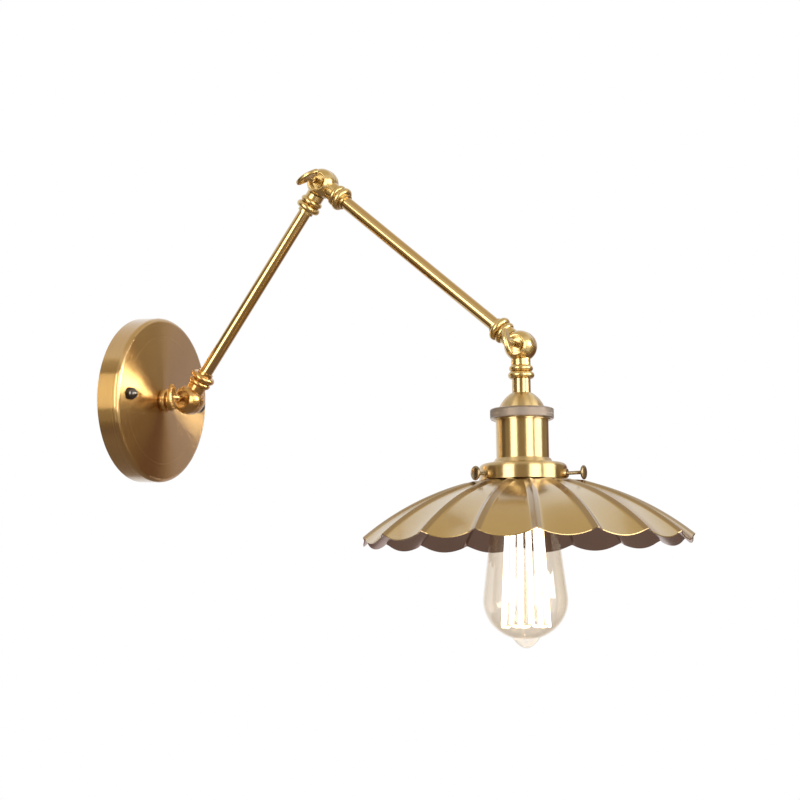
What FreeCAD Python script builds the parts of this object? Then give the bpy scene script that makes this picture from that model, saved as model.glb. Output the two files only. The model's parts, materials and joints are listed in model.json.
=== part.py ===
import FreeCAD, Part
import math
import operator
import os
import Sketcher

# Swing arm wall lamp: a round wall canopy, two tubular arms on half-ball knuckles,
# a lamp holder with a knurled ring, and a fluted shade held in a gallery.
# Millimetres, Z up, origin at the middle of the canopy's back on the wall, room at -Y.

SIZES = {
    # wall canopy and its bracket
    "canopy_radius": 65.9,
    "canopy_depth": 18.6,
    "canopy_wall": 1.0,
    "canopy_edge": 3.2,
    "stud_offset": 50.0,
    "stud_radius": 2.0,
    "bracket_width": 14.0,
    "bracket_thick": 2.0,
    "bracket_end": 7.0,
    "box_screw_offset": 34.925,
    "box_screw_hole": 2.4,
    "bracket_wire_hole": 8.0,
    "ground_offset": 20.0,
    "ground_radius": 1.9,
    "ground_head": 3.6,
    "lock_nut_corner": 4.0,
    "lock_nut_height": 3.2,
    "cap_nut_corner": 5.4,
    "cap_nut_hex": 3.0,
    "cap_nut_height": 7.4,
    "lead_radius": 1.1,
    "lead_reach": 30.0,
    "lead_bend": 3.5,
    "connector_radius": 5.0,
    "connector_length": 17.0,
    # threaded nipples that carry the wires
    "nipple_radius": 4.8,
    "nipple_bore": 3.2,
    "nipple_nut_corner": 8.2,
    "nipple_nut_height": 4.5,
    "nipple_grip": 7.0,
    "nipple_tail": 1.5,
    "lock_washer_radius": 8.6,
    "lock_washer_thick": 1.2,
    # half-ball knuckles
    "ball_radius": 11.4,
    "ball_offset": 2.0,
    "ball_flat": 10.7,
    "recess_radius": 6.2,
    "recess_lip": 0.5,
    "recess_floor": 6.2,
    "stem_root": 7.1,
    "small_ring_radius": 8.8,
    "small_ring_width": 4.6,
    "big_ring_radius": 9.7,
    "big_ring_width": 5.4,
    "stem_length": 24.4,
    "base_stem_length": 23.9,
    "lip_radius": 6.2,
    "lip_length": 2.2,
    "washer_thick": 0.55,
    "washer_inner": 8.0,
    "washer_outer": 10.6,
    "wire_way_inner": 3.5,
    "wire_way_outer": 7.2,
    "wire_way_depth": 3.2,
    "wire_bore": 2.6,
    # thumb screws
    "screw_radius": 2.5,
    "screw_reach": 7.5,
    "screw_collar": 4.3,
    "screw_collar_thick": 2.4,
    "leaf_centre": 25.2,
    "leaf_length": 20.6,
    "leaf_width": 10.4,
    "leaf_thick": 3.4,
    "leaf_end": 2.4,
    "leaf_hub": 3.3,
    "leaf_hub_length": 6.0,
    # arms
    "tube_radius": 5.0,
    "tube_wall": 0.8,
    "tube_socket": 6.5,
    "lower_arm_length": 203.1,
    "upper_arm_length": 216.0,
    "wire_radius": 0.9,
    # lamp holder
    "neck_radius": 6.85,
    "neck_length": 10.4,
    "cap_top_radius": 7.5,
    "cap_base_radius": 17.0,
    "cap_height": 11.7,
    "cap_bow": 22.0,
    "cap_wall": 0.9,
    "cap_flange": 20.6,
    "ring_radius": 23.4,
    "ring_height": 8.0,
    "ring_lip": 0.9,
    "ring_edge": 1.2,
    "shell_radius": 19.3,
    "shell_wall": 0.9,
    "shell_length": 43.5,
    "shell_bead": 0.7,
    "shell_bead_radius": 20.9,
    "insulator_floor": 19.7,
    "insulator_bore": 14.3,
    "screw_shell_wall": 0.6,
    "screw_shell_length": 19.0,
    "contact_radius": 4.0,
    "contact_height": 1.2,
    "contact_rivet": 2.0,
    "terminal_offset": 9.0,
    "terminal_radius": 1.4,
    "terminal_head": 2.8,
    # shade gallery and its screws
    "gallery_radius": 32.3,
    "gallery_wall": 1.0,
    "gallery_step_radius": 22.2,
    "gallery_step": 3.2,
    "gallery_shoulder": 4.0,
    "gallery_fall": 0.4,
    "gallery_height": 15.9,
    "gallery_drop": 28.8,
    "boss_radius": 3.2,
    "boss_height": 2.2,
    "gallery_screw_radius": 1.4,
    "gallery_screw_head": 5.2,
    "gallery_screw_reach": 45.0,
    "gallery_screw_lens": 3.2,
    "gallery_screw_edge": 0.3,
    "gallery_screw_drop": 12.1,
    # fluted shade
    "shade_radius": 120.65,
    "shade_crown_slope": 11.7,
    "shade_rim_slope": 39.7,
    "shade_sheet": 0.9,
    "collar_radius": 28.6,
    "collar_height": 8.6,
    "crown_start": 33.0,
    "rib_half_width": 4.0,
    "rib_height": 2.2,
    "rib_runout": 15.0,
    "panel_sag": 3.4,
    "crown_drop": 1.1,
    "shade_shift_side": 0.95,
    "shade_shift_out": 1.95,
    # bulb
    "bulb_radius": 30.7,
    "bulb_length": 143.5,
    "bulb_pip": 3.8,
    "bulb_neck": 12.4,
    "bulb_glass_wall": 0.9,
    "bulb_base_radius": 13.1,
    "bulb_base_length": 21.0,
    "bulb_base_wall": 0.5,
    "bulb_tip": 4.5,
    "bulb_tip_height": 1.0,
    "vitrite_height": 3.4,
    "cage_top_radius": 13.0,
    "cage_bottom_radius": 17.0,
    "cage_length": 71.0,
    "filament_radius": 0.35,
    "support_radius": 0.5,
    "stem_rod": 1.8,
    # clearances
    "running_clear": 0.08,
    "seat_clear": 0.03,
    "swing_clear": 0.35,
    "contact_gap": 0.15,
    "hinge_clear": 0.025,
}

FLUTES = 18
FLUTE_TURN = 5.1
SHADE_STEPS = 6
RIB_START = 0.22
GALLERY_SCREW_TURNS = (30.0, 150.0, 270.0)
FILAMENT_STRANDS = 14
SUPPORT_SPOKES = 4
LOWER_ARM_ANGLE = 56.5
UPPER_ARM_ANGLE = -37.4
HEAD_ANGLE = -86.6
BASE_LEAF_ANGLE = -85.6
ELBOW_LEAF_ANGLE = 28.0
HEAD_LEAF_ANGLE = -73.6
FULL_TURN = 360.0
HEX_FLAT = math.cos(math.radians(30.0))
POLE_FLAT = 0.4
SPARE = 1.0

X_AXIS = FreeCAD.Vector(1, 0, 0)
Y_AXIS = FreeCAD.Vector(0, 1, 0)
Z_AXIS = FreeCAD.Vector(0, 0, 1)

doc = FreeCAD.newDocument("wall_lamp")
sheet = doc.addObject("Spreadsheet::Sheet", "Dims")
parts = []


class Size:
    """A length, with the spreadsheet expression that gives it."""

    def __init__(self, text, value):
        self.text = text
        self.value = value

    def __add__(self, other):
        return joined(self, "+", other)

    def __radd__(self, other):
        return joined(other, "+", self)

    def __sub__(self, other):
        return joined(self, "-", other)

    def __rsub__(self, other):
        return joined(other, "-", self)

    def __mul__(self, other):
        return joined(self, "*", other)

    def __rmul__(self, other):
        return joined(other, "*", self)

    def __truediv__(self, other):
        return joined(self, "/", other)

    def __neg__(self):
        return joined(0.0, "-", self)


OPERATIONS = {"+": operator.add, "-": operator.sub, "*": operator.mul, "/": operator.truediv}


def as_size(item):
    if isinstance(item, Size):
        return item
    return Size(str(float(item)), float(item))


def joined(left, sign, right):
    left = as_size(left)
    right = as_size(right)
    text = "(%s %s %s)" % (left.text, sign, right.text)
    return Size(text, OPERATIONS[sign](left.value, right.value))


def root(item):
    return Size("sqrt(%s)" % item.text, math.sqrt(item.value))


def bow(chord, rise):
    """Radius of the arc that rises by rise over a chord."""
    return (chord * chord / 4 + rise * rise) / (2 * rise)


def pole_of(ball, level):
    """Points that end a dome of a ball radius in a small flat, just short of its pole's level."""
    flat = level - ball + root(ball * ball - POLE_FLAT * POLE_FLAT)
    return [(POLE_FLAT, flat, ball), (0, flat)]


class Sheet:
    """Every driving dimension as an attribute bound to its spreadsheet cell."""

    def __init__(self, sizes):
        for row, (name, value) in enumerate(sizes.items(), start=1):
            sheet.set("A%d" % row, name)
            sheet.set("B%d" % row, str(value))
            sheet.setAlias("B%d" % row, name)
            setattr(self, name, Size("Dims.%s" % name, value))


D = Sheet(SIZES)
doc.recompute()


# Drawing helpers

def bind(item, prop, size):
    size = as_size(size)
    setattr(item, prop, size.value)
    if "Dims." in size.text:
        item.setExpression(prop, size.text)


def limit(sketch, kind, place, size):
    """Add a bound constraint of a kind at a place in the sketch."""
    size = as_size(size)
    index = sketch.addConstraint(Sketcher.Constraint(kind, *place, size.value))
    if "Dims." in size.text:
        sketch.setExpression("Constraints[%d]" % index, size.text)


def pin(sketch, edge, end, u, v):
    """Fix one end of an edge at (u, v) from the sketch origin."""
    for kind, axis, size in (("DistanceX", -2, u), ("DistanceY", -1, v)):
        if as_size(size).text == "0.0":
            sketch.addConstraint(Sketcher.Constraint("PointOnObject", edge, end, axis))
        else:
            limit(sketch, kind, (-1, 1, edge, end), size)


def add_edge(sketch, start, stop, radius):
    """Line, or arc turning left for a positive radius; returns edge, first end, last end."""
    first = FreeCAD.Vector(as_size(start[0]).value, as_size(start[1]).value, 0)
    last = FreeCAD.Vector(as_size(stop[0]).value, as_size(stop[1]).value, 0)
    if radius is None:
        return sketch.addGeometry(Part.LineSegment(first, last)), 1, 2
    size = as_size(radius)
    turn = math.copysign(1.0, size.value)
    chord = last - first
    half = chord.Length / 2
    rise = math.sqrt(size.value ** 2 - half ** 2)
    side = FreeCAD.Vector(-chord.y, chord.x, 0).normalize()
    centre = (first + last) * 0.5 + side * (turn * rise)
    begin, finish = (first, last) if turn > 0 else (last, first)
    angle = math.atan2(begin.y - centre.y, begin.x - centre.x)
    stop_angle = math.atan2(finish.y - centre.y, finish.x - centre.x)
    if stop_angle < angle:
        stop_angle += 2 * math.pi
    circle = Part.Circle(centre, Z_AXIS, abs(size.value))
    edge = sketch.addGeometry(Part.ArcOfCircle(circle, angle, stop_angle))
    bound = size if turn > 0 else -size
    limit(sketch, "Radius", (edge,), bound)
    return (edge, 1, 2) if turn > 0 else (edge, 2, 1)


def draw(sketch, points):
    """Closed outline; a point's third value is the radius of the edge that arrives at it."""
    edges = []
    for index, point in enumerate(points):
        radius = point[2] if len(point) > 2 else None
        edges.append(add_edge(sketch, points[index - 1], point, radius))
    for index, point in enumerate(points):
        edge, _, end = edges[index]
        following, begin, _ = edges[(index + 1) % len(edges)]
        sketch.addConstraint(Sketcher.Constraint("Coincident", edge, end, following, begin))
        pin(sketch, edge, end, point[0], point[1])


def ring(sketch, u, v, radius):
    """Full circle at (u, v)."""
    middle = FreeCAD.Vector(as_size(u).value, as_size(v).value, 0)
    edge = sketch.addGeometry(Part.Circle(middle, Z_AXIS, as_size(radius).value))
    pin(sketch, edge, 3, u, v)
    limit(sketch, "Radius", (edge,), radius)


def new_sketch(body, name, role):
    sketch = body.newObject("Sketcher::SketchObject", name)
    plane = [item for item in body.Origin.OriginFeatures if item.Role == role][0]
    sketch.AttachmentSupport = [(plane, "")]
    sketch.MapMode = "FlatFace"
    return sketch


def new_body(label):
    body = doc.addObject("PartDesign::Body", label)
    body.Label = label
    return body


def turn_on(body, name, points):
    """Turned form about the body's Z axis from an outline of (radius, height)."""
    sketch = new_sketch(body, name + "_outline", "XZ_Plane")
    draw(sketch, points)
    turned = body.newObject("PartDesign::Revolution", name + "_turning")
    turned.Profile = sketch
    turned.ReferenceAxis = (sketch, ["V_Axis"])
    turned.Angle = FULL_TURN
    sketch.Visibility = False
    return turned


def turned_body(label, points):
    body = new_body(label)
    turn_on(body, label, points)
    return body


def cylinder(label, radius, start, stop, placement=FreeCAD.Placement()):
    """Cylinder on the Z axis from start to stop, then placed."""
    item = doc.addObject("Part::Cylinder", label)
    bind(item, "Radius", radius)
    bind(item, "Height", as_size(stop) - start)
    lift = FreeCAD.Placement(Z_AXIS * as_size(start).value, FreeCAD.Rotation())
    item.Placement = placement.multiply(lift)
    return item


def block(label, lows, highs):
    item = doc.addObject("Part::Box", label)
    for prop, low, high in zip(("Length", "Width", "Height"), lows, highs):
        bind(item, prop, as_size(high) - low)
    item.Placement.Base = FreeCAD.Vector(*(as_size(low).value for low in lows))
    return item


def hexagon(label, corner, start, stop, placement=FreeCAD.Placement()):
    item = doc.addObject("Part::Prism", label)
    item.Polygon = 6
    bind(item, "Circumradius", corner)
    bind(item, "Height", as_size(stop) - start)
    lift = FreeCAD.Placement(Z_AXIS * as_size(start).value, FreeCAD.Rotation())
    item.Placement = placement.multiply(lift)
    return item


def united(label, items):
    item = doc.addObject("Part::MultiFuse", label)
    item.Shapes = items
    return item


def cut(label, base, tools):
    """Base with every tool taken away, one after another."""
    item = base
    for tool in tools:
        result = doc.addObject("Part::Cut", label)
        result.Base = item
        result.Tool = tool
        item = result
    return item


def gathered(label, items):
    item = doc.addObject("Part::Compound", label)
    item.Links = items
    return item


def deliver(item, label, placement=FreeCAD.Placement()):
    """Name a finished sub-part and set it in the lamp."""
    item.Label = label
    item.Placement = placement
    parts.append((label, item))


def turn(axis, angle):
    return FreeCAD.Placement(FreeCAD.Vector(), FreeCAD.Rotation(axis, angle))


def shift(x, y, z):
    return FreeCAD.Placement(FreeCAD.Vector(x, y, z), FreeCAD.Rotation())


# Frames of the lamp

def arm_direction(angle):
    """Unit vector at an angle above the horizontal that points into the room."""
    return FreeCAD.Vector(0, -math.cos(math.radians(angle)), math.sin(math.radians(angle)))


def aimed(centre, angle):
    """Placement that stands a piece's Z axis at an arm angle on a knuckle's centre."""
    return FreeCAD.Placement(centre, FreeCAD.Rotation(X_AXIS, 90.0 - angle))


BASE_CENTRE = arm_direction(0) * (D.canopy_depth + D.base_stem_length).value
ELBOW_CENTRE = BASE_CENTRE + arm_direction(LOWER_ARM_ANGLE) * D.lower_arm_length.value
HEAD_CENTRE = ELBOW_CENTRE + arm_direction(UPPER_ARM_ANGLE) * D.upper_arm_length.value
WALL_FRAME = turn(X_AXIS, 90.0)
HEAD_FRAME = aimed(HEAD_CENTRE, HEAD_ANGLE)
ACROSS = turn(Y_AXIS, 90.0)

# Face of a knuckle's half, measured from the middle of its hinge
HINGE_FACE = D.washer_thick / 2 + D.hinge_clear

# Levels down the lamp holder, measured from the head knuckle's centre
NECK_TOP = D.stem_length
CAP_TOP = NECK_TOP + D.neck_length
RING_TOP = CAP_TOP + D.cap_height
FLANGE_TOP = RING_TOP + D.ring_lip
SHELL_TOP = FLANGE_TOP + D.cap_wall
RING_END = RING_TOP + D.ring_height
GALLERY_TOP = RING_END + D.gallery_drop
GALLERY_END = GALLERY_TOP + D.gallery_height
SCREW_LEVEL = GALLERY_TOP + D.gallery_screw_drop
INSULATOR_TOP = RING_END + D.shell_bead + D.shell_bead
SOCKET_FLOOR = INSULATOR_TOP + D.insulator_floor
SHELL_END = RING_END + D.shell_length
BULB_TOP = SOCKET_FLOOR + D.contact_height + D.contact_gap
BULB_END = BULB_TOP + D.bulb_length
CROWN_TOP = GALLERY_END + D.crown_drop


# Wall canopy and what fixes it

def make_canopy():
    label = "canopy"
    outer = D.canopy_radius
    depth = D.canopy_depth
    wall = D.canopy_wall
    edge = D.canopy_edge
    hole = D.nipple_radius + D.seat_clear
    cup = turned_body(label + "_cup", [
        (outer - wall, 0),
        (outer, 0),
        (outer, depth - edge),
        (outer - edge, depth, edge),
        (hole, depth),
        (hole, depth - wall),
        (outer - edge, depth - wall),
        (outer - wall, depth - edge, -(edge - wall)),
    ])
    holes = [stud_cylinder("canopy_stud_hole", side, D.stud_radius + D.running_clear,
                           depth - wall - SPARE, depth + SPARE) for side in (-1, 1)]
    deliver(cut(label, cup, holes), label, WALL_FRAME)


def stud_cylinder(label, side, radius, start, stop):
    return cylinder(label, radius, start, stop, shift(side * D.stud_offset.value, 0, 0))


def make_bracket():
    label = "mounting_bracket"
    body = new_body(label)
    sketch = new_sketch(body, label + "_outline", "XY_Plane")
    half = D.bracket_width / 2
    reach = D.stud_offset + D.bracket_end - half
    draw(sketch, [
        (reach, -half),
        (reach + half, 0, half),
        (reach, half, half),
        (-reach, half),
        (-reach - half, 0, half),
        (-reach, -half, half),
    ])
    ring(sketch, 0, 0, D.bracket_wire_hole / 2)
    ring(sketch, D.ground_offset, 0, D.ground_radius + D.seat_clear)
    for side in (-1, 1):
        ring(sketch, side * D.box_screw_offset, 0, D.box_screw_hole)
        ring(sketch, side * D.stud_offset, 0, D.stud_radius + D.seat_clear)
    plate = body.newObject("PartDesign::Pad", label + "_plate")
    plate.Profile = sketch
    bind(plate, "Length", D.bracket_thick)
    deliver(body, label, WALL_FRAME)


def make_studs():
    tip = D.canopy_depth + D.cap_nut_height * 0.6
    studs = [stud_cylinder("stud", side, D.stud_radius, 0.2, tip) for side in (-1, 1)]
    deliver(gathered("bracket_studs", studs), "bracket_studs", WALL_FRAME)


def make_lock_nuts():
    nuts = []
    for side in (-1, 1):
        place = shift(side * D.stud_offset.value, 0, 0)
        top = D.bracket_thick + D.lock_nut_height
        hexed = hexagon("lock_nut_hex", D.lock_nut_corner, D.bracket_thick, top, place)
        bore = cylinder("lock_nut_bore", D.stud_radius + D.seat_clear, 0, top + SPARE, place)
        nuts.append(cut("lock_nut", hexed, [bore]))
    deliver(gathered("stud_lock_nuts", nuts), "stud_lock_nuts", WALL_FRAME)


def make_cap_nuts():
    nuts = []
    face = D.canopy_depth
    waist = D.cap_nut_corner * HEX_FLAT - 0.1
    rise = D.cap_nut_height - D.cap_nut_hex - 0.3
    for side in (-1, 1):
        place = shift(side * D.stud_offset.value, 0, 0)
        hexed = hexagon("cap_nut_hex", D.cap_nut_corner, face, face + D.cap_nut_hex, place)
        dome = turned_body("cap_nut_dome", [
            (0, face + D.cap_nut_hex * 0.5),
            (waist, face + D.cap_nut_hex * 0.5),
            (waist, face + D.cap_nut_height - rise),
        ] + pole_of(bow(waist * 2, rise), face + D.cap_nut_height))
        dome.Placement = place
        depth = face + D.cap_nut_height * 0.6 + 0.3
        bore = cylinder("cap_nut_bore", D.stud_radius + D.seat_clear, face - SPARE, depth, place)
        nuts.append(cut("cap_nut", united("cap_nut_solid", [hexed, dome]), [bore]))
    deliver(gathered("canopy_cap_nuts", nuts), "canopy_cap_nuts", WALL_FRAME)


def make_ground_screw():
    label = "ground_screw"
    head = D.bracket_thick
    body = turned_body(label, [
        (0, 0.2),
        (D.ground_radius, 0.2),
        (D.ground_radius, head),
        (D.ground_head, head),
        (D.ground_head, head + 1.4),
        (D.ground_head - 0.8, head + 2.2, 0.9),
        (0, head + 2.2),
    ])
    deliver(body, label, WALL_FRAME.multiply(shift(D.ground_offset.value, 0, 0)))


def make_nipple(label, start, stop, placement):
    body = turned_body(label, [
        (D.nipple_bore, start),
        (D.nipple_radius, start),
        (D.nipple_radius, stop),
        (D.nipple_bore, stop),
    ])
    deliver(body, label, placement)


def make_nipple_nut(label, start, placement):
    stop = start + D.nipple_nut_height
    hexed = hexagon(label + "_hex", D.nipple_nut_corner, start, stop)
    bore = cylinder(label + "_bore", D.nipple_radius + D.seat_clear, start - SPARE, stop + SPARE)
    deliver(cut(label, hexed, [bore]), label, placement)


def make_base_fixing():
    frame = aimed(BASE_CENTRE, 180.0)
    inside = D.base_stem_length + D.canopy_wall
    nut = inside + D.lock_washer_thick
    end = nut + D.nipple_nut_height + D.nipple_tail
    make_nipple("base_nipple", D.base_stem_length - D.nipple_grip, end, frame)
    washer = turned_body("base_lock_washer", [
        (D.nipple_radius + D.seat_clear, inside),
        (D.lock_washer_radius, inside),
        (D.lock_washer_radius, nut),
        (D.nipple_radius + D.seat_clear, nut),
    ])
    deliver(washer, "base_lock_washer", frame)
    make_nipple_nut("base_hex_nut", nut, frame)


def make_leads():
    """Two leads that leave the nipple, turn along the wall and end in twist-on connectors."""
    leads = []
    caps = []
    spread = D.nipple_bore - D.lead_radius - 0.15
    nipple_end = (D.canopy_depth - D.canopy_wall - D.lock_washer_thick - D.nipple_nut_height
                  - D.nipple_tail)
    level = nipple_end - D.lead_bend - 0.4
    for side, angle in (("upper", 0.0), ("lower", 180.0)):
        body = new_body(side + "_lead")
        path = new_sketch(body, side + "_lead_path", "YZ_Plane")
        start = D.canopy_depth
        bend = D.lead_bend
        lines = [((spread, start), (spread, level + bend), None),
                 ((spread, level + bend), (spread + bend, level), bend),
                 ((spread + bend, level), (D.lead_reach, level), None)]
        ends = []
        for first, last, radius in lines:
            edge, begin, finish = add_edge(path, first, last, radius)
            pin(path, edge, finish, *last)
            ends.append((edge, begin, finish))
        pin(path, ends[0][0], ends[0][1], *lines[0][0])
        for before, after in zip(ends, ends[1:]):
            path.addConstraint(Sketcher.Constraint("Coincident", before[0], before[2],
                                                   after[0], after[1]))
        section = new_sketch(body, side + "_lead_section", "XY_Plane")
        ring(section, 0, spread, D.lead_radius)
        section.AttachmentOffset = shift(0, 0, start.value)
        pipe = body.newObject("PartDesign::AdditivePipe", side + "_lead_pipe")
        pipe.Profile = section
        pipe.Spine = path
        body.Placement = turn(Z_AXIS, angle)
        leads.append(body)
        cap = turned_body(side + "_connector", [
            (D.lead_radius + D.seat_clear, 0),
            (D.connector_radius, 0),
            (D.connector_radius * 0.75, D.connector_length),
            (0, D.connector_length),
            (0, D.connector_length / 2),
            (D.lead_radius + D.seat_clear, D.connector_length / 2),
        ])
        mouth = D.lead_reach - D.connector_length / 2 + 0.2
        cap.Placement = turn(Z_AXIS, angle).multiply(
            FreeCAD.Placement(FreeCAD.Vector(0, mouth.value, level.value),
                              FreeCAD.Rotation(X_AXIS, -90.0)))
        caps.append(cap)
    deliver(gathered("supply_leads", leads), "supply_leads", WALL_FRAME)
    deliver(gathered("wire_connectors", caps), "wire_connectors", WALL_FRAME)


# Knuckles, arms and thumb screws

def half_ball(label, spread, face, toward, finish):
    """Round-ended half turned about the hinge from a face, finished by the points of its far end."""
    body = turned_body(label, [
        (0, face),
        (spread, face),
        (spread, D.ball_offset),
    ] + finish)
    body.Placement = toward
    return body


def knuckle_half(label, side, length, lip, bore, depth, placement):
    """Half of a ball on one side of the hinge plane, with a ringed stem along Z.

    Side is +1 for the half that takes the screw's thread, -1 for the half under its collar.
    """
    ball = D.ball_radius
    stem = D.stem_root
    toward = turn(Y_AXIS, 90.0 * side)
    away = turn(Y_AXIS, -90.0 * side)
    flat = D.ball_flat - D.ball_offset
    finish = pole_of(ball, D.ball_offset + ball)
    if side < 0:
        finish = [(root(ball * ball - flat * flat), D.ball_flat, ball), (0, D.ball_flat)]
    half = half_ball(label + "_half", ball, HINGE_FACE, toward, finish)

    big = length - D.big_ring_width
    small = big - D.small_ring_width
    end = length + lip
    outline = [
        (0, 0),
        (stem, 0),
        (stem, small),
        (stem, big, bow(D.small_ring_width, D.small_ring_radius - stem)),
        (stem, length, bow(D.big_ring_width, D.big_ring_radius - stem)),
    ]
    if as_size(lip).value > 0:
        outline += [(D.lip_radius, length), (D.lip_radius, end)]
    outline.append((0, end))
    stalk = turned_body(label + "_stalk", outline)

    reach = ball + D.swing_clear
    hole = D.screw_radius + D.running_clear
    hole_end = D.screw_reach + SPARE if side > 0 else D.ball_flat + SPARE
    way_outer = cylinder(label + "_way_outer", D.wire_way_outer, 0, D.wire_way_depth, toward)
    way_inner = cylinder(label + "_way_inner", D.wire_way_inner, 0, D.wire_way_depth, toward)
    tools = [
        half_ball(label + "_swing", reach, -HINGE_FACE, away,
                  pole_of(reach, D.ball_offset + reach)),
        cut(label + "_wire_way", way_outer, [way_inner]),
        cylinder(label + "_wire_bore", D.wire_bore, D.wire_way_inner, end + SPARE),
        cylinder(label + "_socket", as_size(bore) + D.seat_clear, end - depth, end + SPARE),
        cylinder(label + "_hole", hole, 0, hole_end, toward),
    ]
    if side < 0:
        recess = turned_body(label + "_recess", [
            (0, D.recess_floor),
            (D.recess_radius, D.recess_floor),
            (D.recess_radius, D.ball_flat - D.recess_lip),
            (D.recess_radius + D.recess_lip, D.ball_flat, -D.recess_lip),
            (D.recess_radius + D.recess_lip, D.ball_flat + SPARE),
            (0, D.ball_flat + SPARE),
        ])
        recess.Placement = toward
        tools.append(recess)
    blank = united(label + "_blank", [half, stalk])
    deliver(cut(label, blank, tools), label, placement)


def make_friction_washer(label, centre):
    """Washer on the threaded half's face, a hair clear of the half that turns on it."""
    body = turned_body(label, [
        (D.washer_inner, HINGE_FACE - D.washer_thick),
        (D.washer_outer, HINGE_FACE - D.washer_thick),
        (D.washer_outer, HINGE_FACE),
        (D.washer_inner, HINGE_FACE),
    ])
    deliver(body, label, shift(*centre).multiply(ACROSS))


def make_leaf(label):
    """Oval plate with tangent rounded ends, its rims rounded over."""
    body = new_body(label)
    sketch = new_sketch(body, label + "_outline", "XZ_Plane")
    end = D.leaf_end
    reach = D.leaf_length / 2 - end
    half = D.leaf_width / 2
    sweep = (reach * reach + half * half - end * end) / (D.leaf_width - end * 2)
    touch = sweep * reach / (sweep - end)
    rise = (sweep - half) * end / (sweep - end)
    middle = D.leaf_centre
    draw(sketch, [
        (touch, middle - rise, sweep),
        (touch, middle + rise, end),
        (-touch, middle + rise, sweep),
        (-touch, middle - rise, end),
    ])
    plate = body.newObject("PartDesign::Pad", label + "_plate")
    plate.Profile = sketch
    plate.SideType = "Symmetric"
    bind(plate, "Length", D.leaf_thick)
    doc.recompute()
    rims = ["Edge%d" % number for number, edge in enumerate(plate.Shape.Edges, start=1)
            if edge.BoundBox.YLength < 1e-6]
    rounding = body.newObject("PartDesign::Fillet", label + "_rims")
    rounding.Base = (plate, rims)
    bind(rounding, "Radius", D.leaf_thick * 0.36)
    return body


def make_thumb_screw(label, centre, angle):
    """Clamp screw whose leaf stands across the hinge axis at an angle."""
    collar = D.recess_floor + D.contact_gap / 3
    hub = D.leaf_centre - D.leaf_width / 2
    shank = turned_body(label + "_shank", [
        (0, -D.screw_reach),
        (D.screw_radius, -D.screw_reach),
        (D.screw_radius, collar),
        (D.screw_collar, collar),
        (D.screw_collar, collar + D.screw_collar_thick),
        (D.screw_radius, collar + D.screw_collar_thick),
        (D.screw_radius, hub - D.leaf_hub_length / 2),
        (D.leaf_hub, hub),
        (D.leaf_thick * 0.45, hub + D.leaf_hub_length),
        (0, hub + D.leaf_hub_length),
    ])
    place = FreeCAD.Placement(centre, FreeCAD.Rotation(X_AXIS, 90.0 - angle))
    whole = united(label, [shank, make_leaf(label + "_leaf")])
    deliver(whole, label, place.multiply(turn(Y_AXIS, -90.0)))


def make_arm(name, length, centre, angle):
    """Tube between two knuckle halves, with a pair of wires inside."""
    frame = aimed(centre, angle)
    far_end = centre + arm_direction(angle) * length.value
    knuckle_half(name + "_near_knuckle", -1, D.stem_length, D.lip_length, D.tube_radius,
                 D.tube_socket, frame)
    knuckle_half(name + "_far_knuckle", 1, D.stem_length, D.lip_length, D.tube_radius,
                 D.tube_socket, aimed(far_end, angle + 180.0))
    start = D.stem_length + D.lip_length - D.tube_socket
    stop = length - start
    tube = turned_body(name + "_tube", [
        (D.tube_radius - D.tube_wall, start),
        (D.tube_radius, start),
        (D.tube_radius, stop),
        (D.tube_radius - D.tube_wall, stop),
    ])
    deliver(tube, name + "_tube", frame)
    clear = D.ball_radius + D.swing_clear + 0.4
    make_wires(name + "_wires", clear, length - clear, frame)


def make_wires(label, start, stop, frame):
    """Two conductors side by side on the Z axis."""
    spread = (D.wire_radius + 0.1).value
    wires = [cylinder(label + "_strand", D.wire_radius, start, stop, shift(side * spread, 0, 0))
             for side in (-1, 1)]
    deliver(gathered(label, wires), label, frame)


# Lamp holder

def make_neck():
    body = turned_body("socket_neck", [
        (D.nipple_bore, NECK_TOP - D.nipple_grip),
        (D.nipple_radius, NECK_TOP - D.nipple_grip),
        (D.nipple_radius, NECK_TOP),
        (D.neck_radius, NECK_TOP),
        (D.neck_radius, CAP_TOP),
        (D.nipple_radius, CAP_TOP),
        (D.nipple_radius, CAP_TOP + D.cap_wall + D.nipple_nut_height + D.nipple_tail),
        (D.nipple_bore, CAP_TOP + D.cap_wall + D.nipple_nut_height + D.nipple_tail),
    ])
    deliver(body, "socket_neck", HEAD_FRAME)
    make_nipple_nut("neck_hex_nut", CAP_TOP + D.cap_wall, HEAD_FRAME)


def make_cap():
    wall = D.cap_wall
    hole = D.nipple_radius + D.seat_clear
    body = turned_body("socket_cap", [
        (hole, CAP_TOP),
        (D.cap_top_radius, CAP_TOP),
        (D.cap_base_radius, RING_TOP, D.cap_bow),
        (D.cap_base_radius, FLANGE_TOP),
        (D.cap_flange, FLANGE_TOP),
        (D.cap_flange, SHELL_TOP),
        (D.cap_base_radius - wall, SHELL_TOP),
        (D.cap_base_radius - wall, RING_TOP + wall / 2),
        (D.nipple_nut_corner + 0.4, CAP_TOP + wall, -(D.cap_bow - wall)),
        (hole, CAP_TOP + wall),
    ])
    deliver(body, "socket_cap", HEAD_FRAME)


def make_knurled_ring():
    edge = D.ring_edge
    bore = D.cap_flange + D.seat_clear
    lip = D.cap_base_radius + D.seat_clear
    body = turned_body("knurled_ring", [
        (lip, RING_TOP),
        (D.ring_radius - edge, RING_TOP),
        (D.ring_radius, RING_TOP + edge, edge),
        (D.ring_radius, RING_END - edge),
        (D.ring_radius - edge, RING_END, edge),
        (bore, RING_END),
        (bore, FLANGE_TOP),
        (lip, FLANGE_TOP),
    ])
    deliver(body, "knurled_ring", HEAD_FRAME)


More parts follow.
